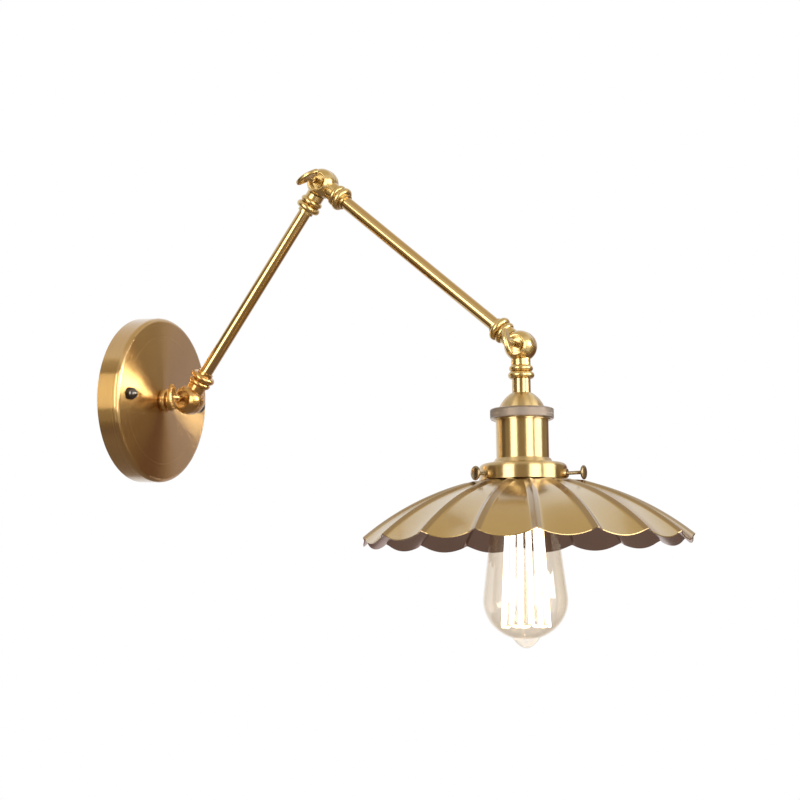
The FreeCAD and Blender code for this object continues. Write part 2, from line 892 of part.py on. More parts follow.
def make_shell():
    inner = D.shell_radius - D.shell_wall
    body = turned_body("socket_shell", [
        (D.cap_base_radius - D.cap_wall, SHELL_TOP),
        (D.cap_flange, SHELL_TOP),
        (D.cap_flange, RING_END),
        (D.shell_bead_radius, RING_END),
        (D.shell_bead_radius, RING_END + D.shell_bead),
        (D.shell_radius, RING_END + D.shell_bead),
        (D.shell_radius, SHELL_END),
        (inner - D.shell_wall, SHELL_END),
        (inner - D.shell_wall, SHELL_END - D.shell_wall),
        (inner, SHELL_END - D.shell_wall),
        (inner, SHELL_TOP + D.shell_wall),
        (D.cap_base_radius - D.cap_wall, SHELL_TOP + D.shell_wall),
    ])
    deliver(body, "socket_shell", HEAD_FRAME)


def make_socket_inside():
    outer = D.shell_radius - D.shell_wall - D.seat_clear
    end = SHELL_END - D.shell_wall
    cup = turned_body("socket_insulator_cup", [
        (D.contact_rivet + D.seat_clear, INSULATOR_TOP),
        (outer, INSULATOR_TOP),
        (outer, end),
        (D.insulator_bore, end),
        (D.insulator_bore, SOCKET_FLOOR),
        (D.contact_rivet + D.seat_clear, SOCKET_FLOOR),
    ])
    shank = D.insulator_floor * 0.4
    holes = [cylinder("terminal_hole", D.terminal_radius + D.seat_clear, INSULATOR_TOP - SPARE,
                      INSULATOR_TOP + shank, shift(side * D.terminal_offset.value, 0, 0))
             for side in (-1, 1)]
    deliver(cut("socket_insulator", cup, holes), "socket_insulator", HEAD_FRAME)

    wall = D.screw_shell_wall
    liner = D.insulator_bore - D.seat_clear
    shell = turned_body("screw_shell", [
        (D.contact_radius + SPARE, SOCKET_FLOOR),
        (liner, SOCKET_FLOOR),
        (liner, SOCKET_FLOOR + D.screw_shell_length),
        (liner - wall, SOCKET_FLOOR + D.screw_shell_length),
        (liner - wall, SOCKET_FLOOR + wall),
        (D.contact_radius + SPARE, SOCKET_FLOOR + wall),
    ])
    deliver(shell, "screw_shell", HEAD_FRAME)

    contact = turned_body("centre_contact", [
        (0, INSULATOR_TOP + shank),
        (D.contact_rivet, INSULATOR_TOP + shank),
        (D.contact_rivet, SOCKET_FLOOR),
        (D.contact_radius, SOCKET_FLOOR),
        (D.contact_radius - 0.8, SOCKET_FLOOR + D.contact_height),
        (0, SOCKET_FLOOR + D.contact_height),
    ])
    deliver(contact, "centre_contact", HEAD_FRAME)

    screws = []
    for side in (-1, 1):
        screw = turned_body("terminal_screw", [
            (0, INSULATOR_TOP - 2.0),
            (D.terminal_head, INSULATOR_TOP - 2.0),
            (D.terminal_head, INSULATOR_TOP),
            (D.terminal_radius, INSULATOR_TOP),
            (D.terminal_radius, INSULATOR_TOP + shank - 0.3),
            (0, INSULATOR_TOP + shank - 0.3),
        ])
        screw.Placement = shift(side * D.terminal_offset.value, 0, 0)
        screws.append(screw)
    deliver(gathered("terminal_screws", screws), "terminal_screws", HEAD_FRAME)
    clear = D.ball_radius + D.swing_clear + 0.4
    make_wires("head_wires", clear, INSULATOR_TOP - 0.2, HEAD_FRAME)


# Gallery and shade

def make_gallery():
    wall = D.gallery_wall
    bore = D.shell_radius + D.seat_clear
    step = GALLERY_TOP + D.gallery_step
    fall = step + D.gallery_fall
    bend = D.gallery_shoulder
    outer = D.gallery_radius
    cup = turned_body("shade_gallery_cup", [
        (bore, GALLERY_TOP),
        (bore + wall, GALLERY_TOP),
        (D.gallery_step_radius, step),
        (outer - bend, fall),
        (outer, fall + bend, bend),
        (outer, GALLERY_END),
        (outer - wall, GALLERY_END),
        (outer - wall, fall + bend),
        (outer - bend, fall + wall, -(bend - wall)),
        (bore, step + wall),
    ])
    bosses = []
    holes = []
    for angle in GALLERY_SCREW_TURNS:
        radial = screw_line(angle)
        bosses.append(cylinder("gallery_boss", D.boss_radius, outer - wall / 2,
                               outer + D.boss_height, radial))
        holes.append(cylinder("gallery_hole", D.gallery_screw_radius + D.running_clear,
                              outer - 2 * wall, outer + D.boss_height + SPARE, radial))
    solid = united("shade_gallery_solid", [cup] + bosses)
    deliver(cut("shade_gallery", solid, holes), "shade_gallery", HEAD_FRAME)


def screw_line(angle):
    """Placement that lays the Z axis along a gallery screw, outward from the holder's axis."""
    return shift(0, 0, SCREW_LEVEL.value).multiply(turn(Z_AXIS, -angle)).multiply(ACROSS)


def make_gallery_screws():
    """Screws with lens heads, each driven until its tip meets the shade's off-centre collar."""
    lens = D.gallery_screw_lens / 2
    edge = D.gallery_screw_edge
    head = D.gallery_screw_head
    shank = D.gallery_screw_radius
    for number, angle in enumerate(GALLERY_SCREW_TURNS, start=1):
        label = "gallery_screw_%d" % number
        side_share = math.cos(math.radians(angle))
        out_share = math.sin(math.radians(angle))
        push = D.shade_shift_side * side_share - D.shade_shift_out * out_share
        tip = D.collar_radius + D.contact_gap + push
        reach = D.gallery_screw_reach + push
        body = turned_body(label, [
            (0, tip),
            (shank, tip),
            (shank, reach - lens),
            (head, reach - edge, (head - shank) * 2),
            (head, reach + edge),
        ] + pole_of(bow(head * 2, lens - edge), reach + lens))
        deliver(body, label, HEAD_FRAME.multiply(screw_line(angle)))


def shade_stations():
    """Meridian from the collar's top to the rim: rows of radius, level, slope, rib height and sag."""
    first = math.radians(D.shade_crown_slope.value)
    last = math.radians(D.shade_rim_slope.value)
    start = D.crown_start.value
    rim = D.shade_radius.value - D.rib_height.value * math.sin(last)
    sweep = (rim - start) / (math.sin(last) - math.sin(first))
    top = CROWN_TOP.value
    collar = D.collar_radius.value
    upright = math.pi / 2
    stations = [
        (collar, top - D.collar_height.value, upright, 0.0, 0.0),
        (collar, top - D.collar_height.value / 2, upright, 0.0, 0.0),
        (collar, top - D.collar_height.value / 6, upright, 0.0, 0.0),
        (collar + 1.2, top - 0.4, upright / 2, 0.0, 0.0),
    ]
    for step in range(SHADE_STEPS + 1):
        share = step / SHADE_STEPS
        slope = first + (last - first) * share
        radius = start + sweep * (math.sin(slope) - math.sin(first))
        level = top + sweep * (math.cos(first) - math.cos(slope))
        grown = min(1.0, RIB_START + (radius - start) / D.rib_runout.value)
        rib = grown * D.rib_height.value
        stations.append((radius, level, slope, rib, D.panel_sag.value * share))
    return stations


def thickened(stations, thick):
    """The stations moved towards the shade's inside by the sheet's thickness."""
    return [(radius - math.sin(slope) * thick, level + math.cos(slope) * thick, slope, rib, sag)
            for radius, level, slope, rib, sag in stations]


def rib_lines(stations):
    """Crest and both feet of one rib, as rows of points down the shade."""
    pitch = math.radians(FULL_TURN / FLUTES)
    rows = {"crest": [], "foot": [], "next_foot": []}
    for radius, level, slope, rib, _ in stations:
        spread = math.asin(D.rib_half_width.value / radius)
        crest = around(radius + math.sin(slope) * rib, 0.0, level - math.cos(slope) * rib)
        rows["crest"].append(crest)
        rows["foot"].append(around(radius, spread, level))
        rows["next_foot"].append(around(radius, pitch - spread, level))
    return rows


def around(radius, angle, level):
    return FreeCAD.Vector(radius * math.cos(angle), radius * math.sin(angle), level)


def panel_rows(rows, stations):
    """Four rows of poles across a panel: its edges follow the ribs and its middle sags."""
    poles = [rows["foot"], [], [], rows["next_foot"]]
    for left, right, (radius, _, _, _, sag) in zip(rows["foot"], rows["next_foot"], stations):
        begin = math.atan2(left.y, left.x)
        finish = math.atan2(right.y, right.x)
        handle = radius * 4.0 / 3.0 * math.tan((finish - begin) / 4)
        tangent = FreeCAD.Vector(-math.sin(begin), math.cos(begin), 0)
        opposite = FreeCAD.Vector(math.sin(finish), -math.cos(finish), 0)
        hang = FreeCAD.Vector(0, 0, sag * 4.0 / 3.0)
        poles[1].append(left + tangent * handle + hang)
        poles[2].append(right + opposite * handle + hang)
    return poles


def sheet_face(rows, degree):
    """Spline face through rows of poles, cubic down the shade and of a degree across it."""
    count = len(rows[0])
    inner = count - 4
    down_knots = [index / (inner + 1) for index in range(inner + 2)]
    down_mults = [4] + [1] * inner + [4]
    surface = Part.BSplineSurface()
    surface.buildFromPolesMultsKnots(rows, [degree + 1, degree + 1], down_mults, [0.0, 1.0],
                                     down_knots, False, False, degree, 3)
    return surface.toShape()


def skin(stations):
    """The faces of one flute: both flanks of its rib and the panel beside it."""
    rows = rib_lines(stations)
    mirrored = [FreeCAD.Vector(point.x, -point.y, point.z) for point in rows["foot"]]
    bands = [([mirrored, rows["crest"]], 1), ([rows["crest"], rows["foot"]], 1),
             (panel_rows(rows, stations), 3)]
    return [sheet_face(band, degree) for band, degree in bands]


def edge_at(face, level):
    """The edge of a skin face whose middle lies nearest to a level."""
    return min(face.Edges, key=lambda edge: abs(edge.CenterOfMass.z - level))


def make_shade():
    """Fluted sheet: raised ribs with sagging panels between them, closed at rim and collar."""
    stations = shade_stations()
    inside = thickened(stations, D.shade_sheet.value)
    faces = []
    for outer, inner in zip(skin(stations), skin(inside)):
        faces += [outer, inner]
        for end in (0, -1):
            outer_rim = edge_at(outer, stations[end][1])
            inner_rim = edge_at(inner, inside[end][1])
            faces.append(Part.makeRuledSurface(outer_rim, inner_rim))
    every = []
    for number in range(FLUTES):
        angle = -FLUTE_TURN - number * FULL_TURN / FLUTES
        for face in faces:
            copy = face.copy()
            copy.rotate(FreeCAD.Vector(), Z_AXIS, angle)
            every.append(copy)
    shell = Part.Shell(every)
    solid = Part.Solid(shell)
    if solid.Volume < 0:
        solid.reverse()
    shade = doc.addObject("Part::Feature", "shade")
    shade.Shape = solid
    aside = shift(D.shade_shift_side.value, D.shade_shift_out.value, 0)
    deliver(shade, "shade", HEAD_FRAME.multiply(aside))


# Bulb

def make_bulb_glass():
    """Round-ended cone of thin glass on a narrow neck, closed with a small pip."""
    wall = D.bulb_glass_wall
    wide = D.bulb_radius
    middle = BULB_END - D.bulb_pip - wide
    top = BULB_TOP + D.bulb_base_length - 4.0
    mouth = BULB_TOP + D.bulb_tip_height + D.vitrite_height + D.bulb_base_length + 0.5
    side = math.radians(7.2)
    shoulder = math.radians(55.0)
    pip = wide * 0.22
    outline = []
    for inset, neck in ((0.0, D.bulb_neck), (wall, D.bulb_neck - wall)):
        outline.append([
            (neck, mouth),
            (wide * 0.57 - inset * math.cos(shoulder),
             middle - wide * 2.352 + inset * math.sin(shoulder),
             -(wide * 0.39 + inset)),
            (wide * 0.75 - inset * math.cos(side),
             middle - wide * 2.052 + inset * math.sin(side),
             wide * 0.43 - inset),
            ((wide - inset) * math.cos(side), middle - (wide - inset) * math.sin(side)),
        ])
    outer, inner = outline
    tip = [
        (pip, middle + root(wide * wide - pip * pip), wide),
        (D.bulb_pip * 0.5, BULB_END - D.bulb_pip * 0.4, -wide * 0.25),
    ]
    tip += pole_of(bow(D.bulb_pip, D.bulb_pip * 0.4), BULB_END)
    (flat, level, _), foot = pole_of(wide - wall, middle + wide - wall)
    back = [
        foot,
        (flat, level),
        inner[3] + (-(wide - wall),),
        inner[2][:2],
        inner[1][:2] + (-inner[2][2],),
        inner[0][:2] + (-inner[1][2],),
    ]
    rim = [(D.bulb_neck - wall, top), (D.bulb_neck, top)]
    deliver(turned_body("bulb_glass", rim + outer + tip + back), "bulb_glass", HEAD_FRAME)


def make_bulb_base():
    tip = BULB_TOP + D.bulb_tip_height
    cup = tip + D.vitrite_height
    end = cup + D.bulb_base_length
    wall = D.bulb_base_wall
    body = turned_body("bulb_screw_base", [
        (D.bulb_base_radius - 2.2, cup),
        (D.bulb_base_radius, cup + 2.6),
        (D.bulb_base_radius, end),
        (D.bulb_base_radius - wall, end),
        (D.bulb_base_radius - wall, cup + 2.8),
        (D.bulb_base_radius - 2.2 - wall, cup + wall),
    ])
    deliver(body, "bulb_screw_base", HEAD_FRAME)
    vitrite = turned_body("bulb_base_insulator", [
        (0, tip),
        (D.bulb_tip + 0.6, tip),
        (D.bulb_base_radius - 2.2 - wall, cup),
        (D.bulb_base_radius - 2.6 - wall, cup + wall),
        (0, cup + wall),
    ])
    deliver(vitrite, "bulb_base_insulator", HEAD_FRAME)
    contact = turned_body("bulb_tip_contact", [
        (0, BULB_TOP),
        (D.bulb_tip - 1.0, BULB_TOP),
        (D.bulb_tip, tip),
        (0, tip),
    ])
    deliver(contact, "bulb_tip_contact", HEAD_FRAME)


def cage_levels():
    """Levels of the filament cage's upper and lower hooks."""
    bottom = BULB_END - D.bulb_pip - D.bulb_radius * 0.42
    return bottom - D.cage_length, bottom


def make_bulb_inside():
    top, bottom = cage_levels()
    press = BULB_TOP + D.bulb_base_length - 2.0
    flare = D.bulb_neck - D.bulb_glass_wall - D.contact_gap
    stem = turned_body("bulb_stem", [
        (0, press),
        (flare, press),
        (flare, press + 1.2),
        (D.stem_rod * 2.4, press + 9.0, -D.bulb_radius * 0.4),
        (D.stem_rod * 1.7, press + 27.0),
        (D.stem_rod, press + 29.0),
        (D.stem_rod, bottom + 1.6),
        (0, bottom + 1.6),
    ])
    deliver(stem, "bulb_stem", HEAD_FRAME)

    supports = []
    spoke_start = D.stem_rod * 1.02 + 0.02
    hoops = (("top", D.cage_top_radius, top), ("bottom", D.cage_bottom_radius, bottom))
    for name, radius, level in hoops:
        lowered = shift(0, 0, level.value)
        halves = []
        for angle in (45.0, 225.0):
            half = doc.addObject("Part::Torus", name + "_hoop")
            bind(half, "Radius1", radius)
            bind(half, "Radius2", D.support_radius)
            half.Angle3 = FULL_TURN / 2
            half.Placement = lowered.multiply(turn(Z_AXIS, angle))
            halves.append(half)
        spokes = []
        for spoke in range(SUPPORT_SPOKES):
            line = lowered.multiply(turn(Z_AXIS, spoke * FULL_TURN / SUPPORT_SPOKES)).multiply(ACROSS)
            spokes.append(cylinder(name + "_spoke", D.support_radius, spoke_start, radius, line))
        supports.append(united(name + "_support", halves + spokes))
    deliver(gathered("bulb_supports", supports), "bulb_supports", HEAD_FRAME)

    strands = []
    spread = (D.cage_bottom_radius - D.cage_top_radius).value
    lean = math.degrees(math.atan2(spread, D.cage_length.value))
    gap = D.support_radius + D.contact_gap
    length = D.cage_length / math.cos(math.radians(lean)) - gap
    for strand in range(FILAMENT_STRANDS):
        around_stem = turn(Z_AXIS, (strand + 0.5) * FULL_TURN / FILAMENT_STRANDS)
        place = around_stem.multiply(shift(D.cage_top_radius.value, 0, top.value))
        place = place.multiply(turn(Y_AXIS, lean))
        strands.append(cylinder("strand", D.filament_radius, gap, length, place))
    deliver(gathered("bulb_filament", strands), "bulb_filament", HEAD_FRAME)


# The whole lamp

make_canopy()
make_bracket()
make_studs()
make_lock_nuts()
make_cap_nuts()
make_ground_screw()
make_base_fixing()
make_leads()

knuckle_half("base_knuckle", 1, D.base_stem_length, 0.0, D.nipple_radius, D.nipple_grip,
             aimed(BASE_CENTRE, 180.0))
make_arm("lower_arm", D.lower_arm_length, BASE_CENTRE, LOWER_ARM_ANGLE)
make_arm("upper_arm", D.upper_arm_length, ELBOW_CENTRE, UPPER_ARM_ANGLE)
knuckle_half("head_knuckle", -1, D.stem_length, 0.0, D.nipple_radius, D.nipple_grip, HEAD_FRAME)
for joint, middle, leaf_angle in (("base", BASE_CENTRE, BASE_LEAF_ANGLE),
                                  ("elbow", ELBOW_CENTRE, ELBOW_LEAF_ANGLE),
                                  ("head", HEAD_CENTRE, HEAD_LEAF_ANGLE)):
    make_friction_washer(joint + "_friction_washer", middle)
    make_thumb_screw(joint + "_thumb_screw", middle, leaf_angle)

make_neck()
make_cap()
make_knurled_ring()
make_shell()
make_socket_inside()
make_gallery()
make_gallery_screws()
make_shade()
make_bulb_glass()
make_bulb_base()
make_bulb_inside()

doc.recompute()

faults = []
for item in doc.Objects:
    if "Invalid" in item.State or "Error" in item.State:
        faults.append("%s is %s" % (item.Label, item.State))
for label, item in parts:
    if item.Shape.isNull() or not item.Shape.isValid() or not item.Shape.Solids:
        faults.append("%s has no sound shape" % label)
if faults:
    raise RuntimeError("; ".join(faults))

os.makedirs("parts", exist_ok=True)
for label, item in parts:
    item.Shape.exportStep(os.path.join("parts", label + ".step"))
print("%d sub-parts written" % len(parts))
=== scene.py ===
import json
import math

import bpy
import numpy as np
from mathutils import Matrix, Vector


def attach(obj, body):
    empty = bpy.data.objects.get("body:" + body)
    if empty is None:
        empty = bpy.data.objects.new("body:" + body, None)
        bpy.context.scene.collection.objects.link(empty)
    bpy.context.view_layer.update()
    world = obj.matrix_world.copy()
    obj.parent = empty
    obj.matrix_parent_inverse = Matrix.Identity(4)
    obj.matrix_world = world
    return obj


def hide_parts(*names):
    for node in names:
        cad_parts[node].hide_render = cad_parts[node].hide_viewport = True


# Looks of a swing arm wall lamp: brushed and polished antique brass, a fluted shade and a lit filament bulb.
# Metres, Z up, the wall at y = 0 and the room at -Y.

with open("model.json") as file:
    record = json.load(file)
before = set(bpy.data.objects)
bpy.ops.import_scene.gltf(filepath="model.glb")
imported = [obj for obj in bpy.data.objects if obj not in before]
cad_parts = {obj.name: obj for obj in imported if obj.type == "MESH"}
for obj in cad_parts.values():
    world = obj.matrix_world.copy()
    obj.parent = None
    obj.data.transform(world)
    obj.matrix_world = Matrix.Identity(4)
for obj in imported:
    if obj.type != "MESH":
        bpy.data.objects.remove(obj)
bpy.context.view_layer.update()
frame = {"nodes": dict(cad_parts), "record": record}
nodes = frame["nodes"]
joints = {joint["name"]: joint for joint in frame["record"]["behaviour"]["joints"]}

MM = 0.001

# Camera
CAMERA_PLACE = Vector((-1.309376, -0.867902, -0.148352))
CAMERA_AZIMUTH = -64.006
CAMERA_ELEVATION = -5.775
CAMERA_ROLL = 2.394
FOCAL_LENGTH_OVER_WIDTH = 2.42300
SENSOR_WIDTH = 36.0

# Pivots of the three knuckles, the way down the lamp holder and the two ways across it
BASE_PIVOT = np.array(joints["base_tilt"]["pos_m"])
ELBOW_PIVOT = np.array(joints["elbow_fold"]["pos_m"])
HEAD_PIVOT = np.array(joints["head_tilt"]["pos_m"])
DOWN = np.array(joints["bulb_turn"]["axis"])
SIDE = np.array([1.0, 0.0, 0.0])
OUT = np.cross(DOWN, SIDE)
WALL_AXIS = (0.0, 1.0, 0.0)

# Fluted shade; from here on millimetres and degrees, with levels counted down from the head pivot
FLUTES = 18
FLUTE_TURN = -5.1
CROWN_LEVEL = 100.3
CROWN_RADIUS = 33.0
CROWN_SLOPE = 11.7
RIM_SLOPE = 39.7
SHADE_RADIUS = 120.65
SHEET = 0.9
COLLAR_RADIUS = 28.6
COLLAR_HEIGHT = 8.6
RIB_HALF_WIDTH = 4.0
RIB_HEIGHT = 2.2
RIB_START = 0.22
RIB_RUNOUT = 15.0
RIB_ROUNDING = 0.10
PANEL_SAG = 3.4
SHADE_ASIDE = 0.95
SHADE_OUTWARD = 1.95
COLLAR_BEND = 0.45
COLLAR_GAP = 1.05
FLAT_GROWTH = 0.5
SAG_GROWTH = 4
COLLAR_ROWS = 5
BEND_ROWS = 8
SPREAD_ROWS = 40
RIM_ROWS = 5
PANEL_COLUMNS = 18
FLANK_STEPS = (-1.0, -0.97, -0.7, -0.35, -0.12, 0.0, 0.12, 0.35, 0.7, 0.97)
RIB_SHADE_WIDTH = 0.9
INSIDE_DEPTH = 0.6
SHADE_CREASE = 21.0

# Knurled ring
RING_RADIUS = 23.4
RING_LIP = 17.05
RING_BORE = 20.65
RING_TOP = 46.5
RING_LIP_END = 47.4
RING_END = 54.5
RING_EDGE = 1.2
KNURL_COUNT = 84
KNURL_DEPTH = 0.6
KNURL_COLUMNS = 8
WALL_ROWS = 44
CORNER_ROWS = 5

# Gallery screws
SCREW_LEVEL = 95.4
SCREW_TURNS = (30.0, 150.0, 270.0)
SCREW_REACH = 45.0
SCREW_SHANK = 1.4
SCREW_HEAD = 5.2
SCREW_LENS = 1.6
SCREW_EDGE = 0.3
SCREW_SEAT = 0.15
SCREW_LEAD = 0.5
SCREW_RELIEF = 0.4
SCREW_UNDERCUT = 1.6
SCREW_COLUMNS = 32
SCREW_CREASE = 45.0
LENS_ROWS = 9
THREAD_PITCH = 0.7
THREAD_DEPTH = 0.28
THREAD_ROWS = 8

# Bulb glass
GLASS_RADIUS = 30.7
GLASS_WALL = 0.9
GLASS_NECK = 12.4
GLASS_TOP = 93.95
GLASS_MOUTH = 102.85
GLASS_SHOULDER = ((17.5, 113.74), (23.02, 122.95))
GLASS_FLARE = 11.97
GLASS_BEND = 13.2
GLASS_MIDDLE = 185.95
GLASS_LEAN = 7.2
GLASS_END = 220.44
BOWL_DEPTH = 28.6
PIP_RADIUS = 10.0
NECK_ROWS, FLARE_ROWS, SHOULDER_ROWS, CONE_ROWS, BOWL_ROWS, PIP_ROWS = 4, 14, 12, 10, 32, 14
GLASS_COLUMNS = 96

# Filament
STRANDS = 14
STRAND_RADIUS = 1.0
CAGE_TOP = 133.0
CAGE_END = 203.4
CAGE_TOP_RADIUS = 13.0
CAGE_END_RADIUS = 17.0
HAIRPIN = 1.6
STRAND_ROWS = 16
STRAIGHT_SHARE = 0.6
WIRE_SIDES = 8


# Meshes

def put_mesh(name, points, faces, crease=40.0):
    """Mesh object from points and a list of faces, smooth but for edges sharper than a crease angle."""
    mesh = bpy.data.meshes.new(name)
    mesh.from_pydata(points.reshape(-1, 3).tolist(), [], faces)
    mesh.polygons.foreach_set("use_smooth", np.ones(len(mesh.polygons), dtype=bool))
    mesh.update()
    mesh.set_sharp_from_angle(angle=math.radians(crease))
    piece = bpy.data.objects.new(name, mesh)
    bpy.context.scene.collection.objects.link(piece)
    return piece


def grid_faces(rows, columns):
    """Corners of a grid of points that closes both along its rows and round its columns."""
    row, column = np.meshgrid(np.arange(rows), np.arange(columns), indexing="ij")
    after_row = (row + 1) % rows
    after_column = (column + 1) % columns
    corners = [row * columns + column, after_row * columns + column,
               after_row * columns + after_column, row * columns + after_column]
    return np.stack([corner.ravel() for corner in corners], axis=1).tolist()


def pole_points(points):
    """List of a grid's points in which the first and the last ring, shrunk to a pole, are one point each."""
    return np.concatenate([points[:1, 0], points[1:-1].reshape(-1, 3), points[-1:, 0]])


def pole_faces(rings, columns):
    """Corners of rings of points that close at a pole before the first ring and one after the last."""
    around = np.arange(columns)
    after = (around + 1) % columns
    start = 1 + columns * np.arange(rings)[:, None]
    near, far = start[:-1], start[1:]
    bands = np.stack([near + around, far + around, far + after, near + after], axis=-1).reshape(-1, 4)
    first = np.stack([0 * around, start[0] + around, start[0] + after], axis=1)
    last = np.stack([start[-1] + around, 0 * around + start[-1] + columns, start[-1] + after], axis=1)
    return bands.tolist() + first.tolist() + last.tolist()


def on_head(radius, angle, level, aside=0.0, outward=0.0):
    """Points at a radius, angle and level about the lamp holder's axis, from millimetres to metres."""
    across = (radius * np.cos(angle) + aside)[..., None]
    along = (radius * np.sin(angle) + outward)[..., None]
    down = (level + 0.0 * angle)[..., None]
    return HEAD_PIVOT + (across * SIDE + along * OUT + down * DOWN) * MM


def take_place(piece, body, node):
    """Let a finished piece ride a body and stand for a node of the construction."""
    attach(piece, body)
    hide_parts(node)
    return piece


def shade_meridian():
    """Rows down the outside of the shade: radius, level, slope from the horizontal, rib height and sag.

    The collar stands upright, bends over in a small arc and runs on in a wide arc to the rim. The sag makes
    a panel flat from rib to rib and, by the fourth power of the way to the rim, lets its edge hang.
    """
    first = math.radians(CROWN_SLOPE)
    last = math.radians(RIM_SLOPE)
    rim = SHADE_RADIUS - RIB_HEIGHT * math.sin(last)
    sweep = (rim - CROWN_RADIUS) / (math.sin(last) - math.sin(first))
    share = np.linspace(0.0, 1.0, SPREAD_ROWS)
    slope = first + (last - first) * share
    radius = CROWN_RADIUS + sweep * (np.sin(slope) - math.sin(first))
    level = CROWN_LEVEL + sweep * (math.cos(first) - np.cos(slope))
    rib = RIB_HEIGHT * np.minimum(1.0, RIB_START + (radius - CROWN_RADIUS) / RIB_RUNOUT)
    bend = np.linspace(0.0, 1.0, BEND_ROWS, endpoint=False)
    bend_slope = math.pi / 2 + (first - math.pi / 2) * bend
    reach = (CROWN_RADIUS - COLLAR_RADIUS) * COLLAR_BEND
    bend_radius = COLLAR_RADIUS + reach * (1.0 - np.sin(bend_slope))
    bend_level = CROWN_LEVEL - reach * np.cos(first) * (1.0 - bend) ** 2
    collar_level = np.linspace(CROWN_LEVEL - COLLAR_HEIGHT, CROWN_LEVEL - reach * COLLAR_GAP, COLLAR_ROWS)
    collar = np.stack(np.broadcast_arrays(COLLAR_RADIUS, collar_level, math.pi / 2, 0.0, 0.0), axis=1)
    turn_over = np.stack(np.broadcast_arrays(bend_radius, bend_level, bend_slope, 0.0, 0.0), axis=1)
    flat = radius * (1.0 - math.cos(math.pi / FLUTES)) * np.tan(slope)
    sag = flat * share ** FLAT_GROWTH + (PANEL_SAG - flat[-1]) * share ** SAG_GROWTH
    spread = np.stack([radius, level, slope, rib, sag], axis=1)
    return np.concatenate([collar, turn_over, spread])


def fluted_shade():
    """Fluted shade: a sheet turned about the holder's axis, with a raised rib between sagging panels.

    Across a rib the height falls in straight flanks from a slightly rounded crest; across a panel the level
    drops by four times the sag times t(1 - t). The inside is the same sheet moved inward by its thickness,
    and a half-round edge joins the two at the rim.
    """
    outside = shade_meridian()
    edge = np.linspace(0.0, 1.0, RIM_ROWS + 2)[1:-1]
    depth = np.concatenate([np.zeros(len(outside)), edge, np.ones(len(outside))])
    rows = np.concatenate([outside, np.repeat(outside[-1:], len(edge), axis=0), outside[::-1]])
    bulge = np.concatenate([np.zeros(len(outside)), np.sin(edge * math.pi), np.zeros(len(outside))])
    rows, depth, bulge = rows[::-1], depth[::-1], bulge[::-1]
    radius, level, slope, rib, sag = (column[:, None] for column in rows.T)
    depth, bulge = depth[:, None] * SHEET, bulge[:, None] * SHEET / 2

    panel = np.linspace(0.0, 1.0, PANEL_COLUMNS, endpoint=False)
    across = np.concatenate([FLANK_STEPS, np.ones(PANEL_COLUMNS)])
    along = np.concatenate([np.zeros(len(FLANK_STEPS)), panel])
    pitch = 2.0 * math.pi / FLUTES
    half = np.arcsin(RIB_HALF_WIDTH / radius)
    turn = half * across + (pitch - 2.0 * half) * along
    crest = np.sqrt(across ** 2 + RIB_ROUNDING ** 2)
    crest = np.where(np.abs(across) < 1.0, (1.0 - crest) / (1.0 - RIB_ROUNDING), 0.0)
    lift = rib * np.maximum(crest, 0.0) - depth
    hang = sag * 4.0 * along * (1.0 - along)
    run = np.cos(slope) * bulge
    drop = np.sin(slope) * bulge
    flute_radius = radius + np.sin(slope) * lift + run
    flute_level = level - np.cos(slope) * lift + hang + drop

    flutes = math.radians(FLUTE_TURN) + pitch * np.arange(FLUTES)
    angle = (flutes[None, :, None] + turn[:, None, :]).reshape(len(rows), -1)
    ring_radius = np.tile(flute_radius, (1, FLUTES))
    ring_level = np.tile(flute_level, (1, FLUTES))
    points = on_head(ring_radius, angle, ring_level, SHADE_ASIDE, SHADE_OUTWARD)
    piece = put_mesh("fluted_shade", points, grid_faces(*angle.shape), SHADE_CREASE)
    # Mask of the inside surface, which the shade's finish paints in dull dark tones as painted shade
    inside = np.repeat(depth[:, 0] > SHEET * INSIDE_DEPTH, angle.shape[1])
    # Mask of the rib flanks, which the shade's finish darkens as painted shade
    rib_shade = np.tile((np.abs(across) < RIB_SHADE_WIDTH) & (rib > 0.0), (1, FLUTES)).ravel()
    for name, where in (("inside", inside), ("rib_shade", rib_shade)):
        piece.data.attributes.new(name, "FLOAT", "POINT").data.foreach_set("value", where.astype(np.float32))
    return take_place(piece, "head", "shade")


def triangle(turns):
    """Wave that rises evenly from 0 to 1 and falls back once in every turn."""
    return 1.0 - 2.0 * np.abs(turns - np.floor(turns + 0.5))


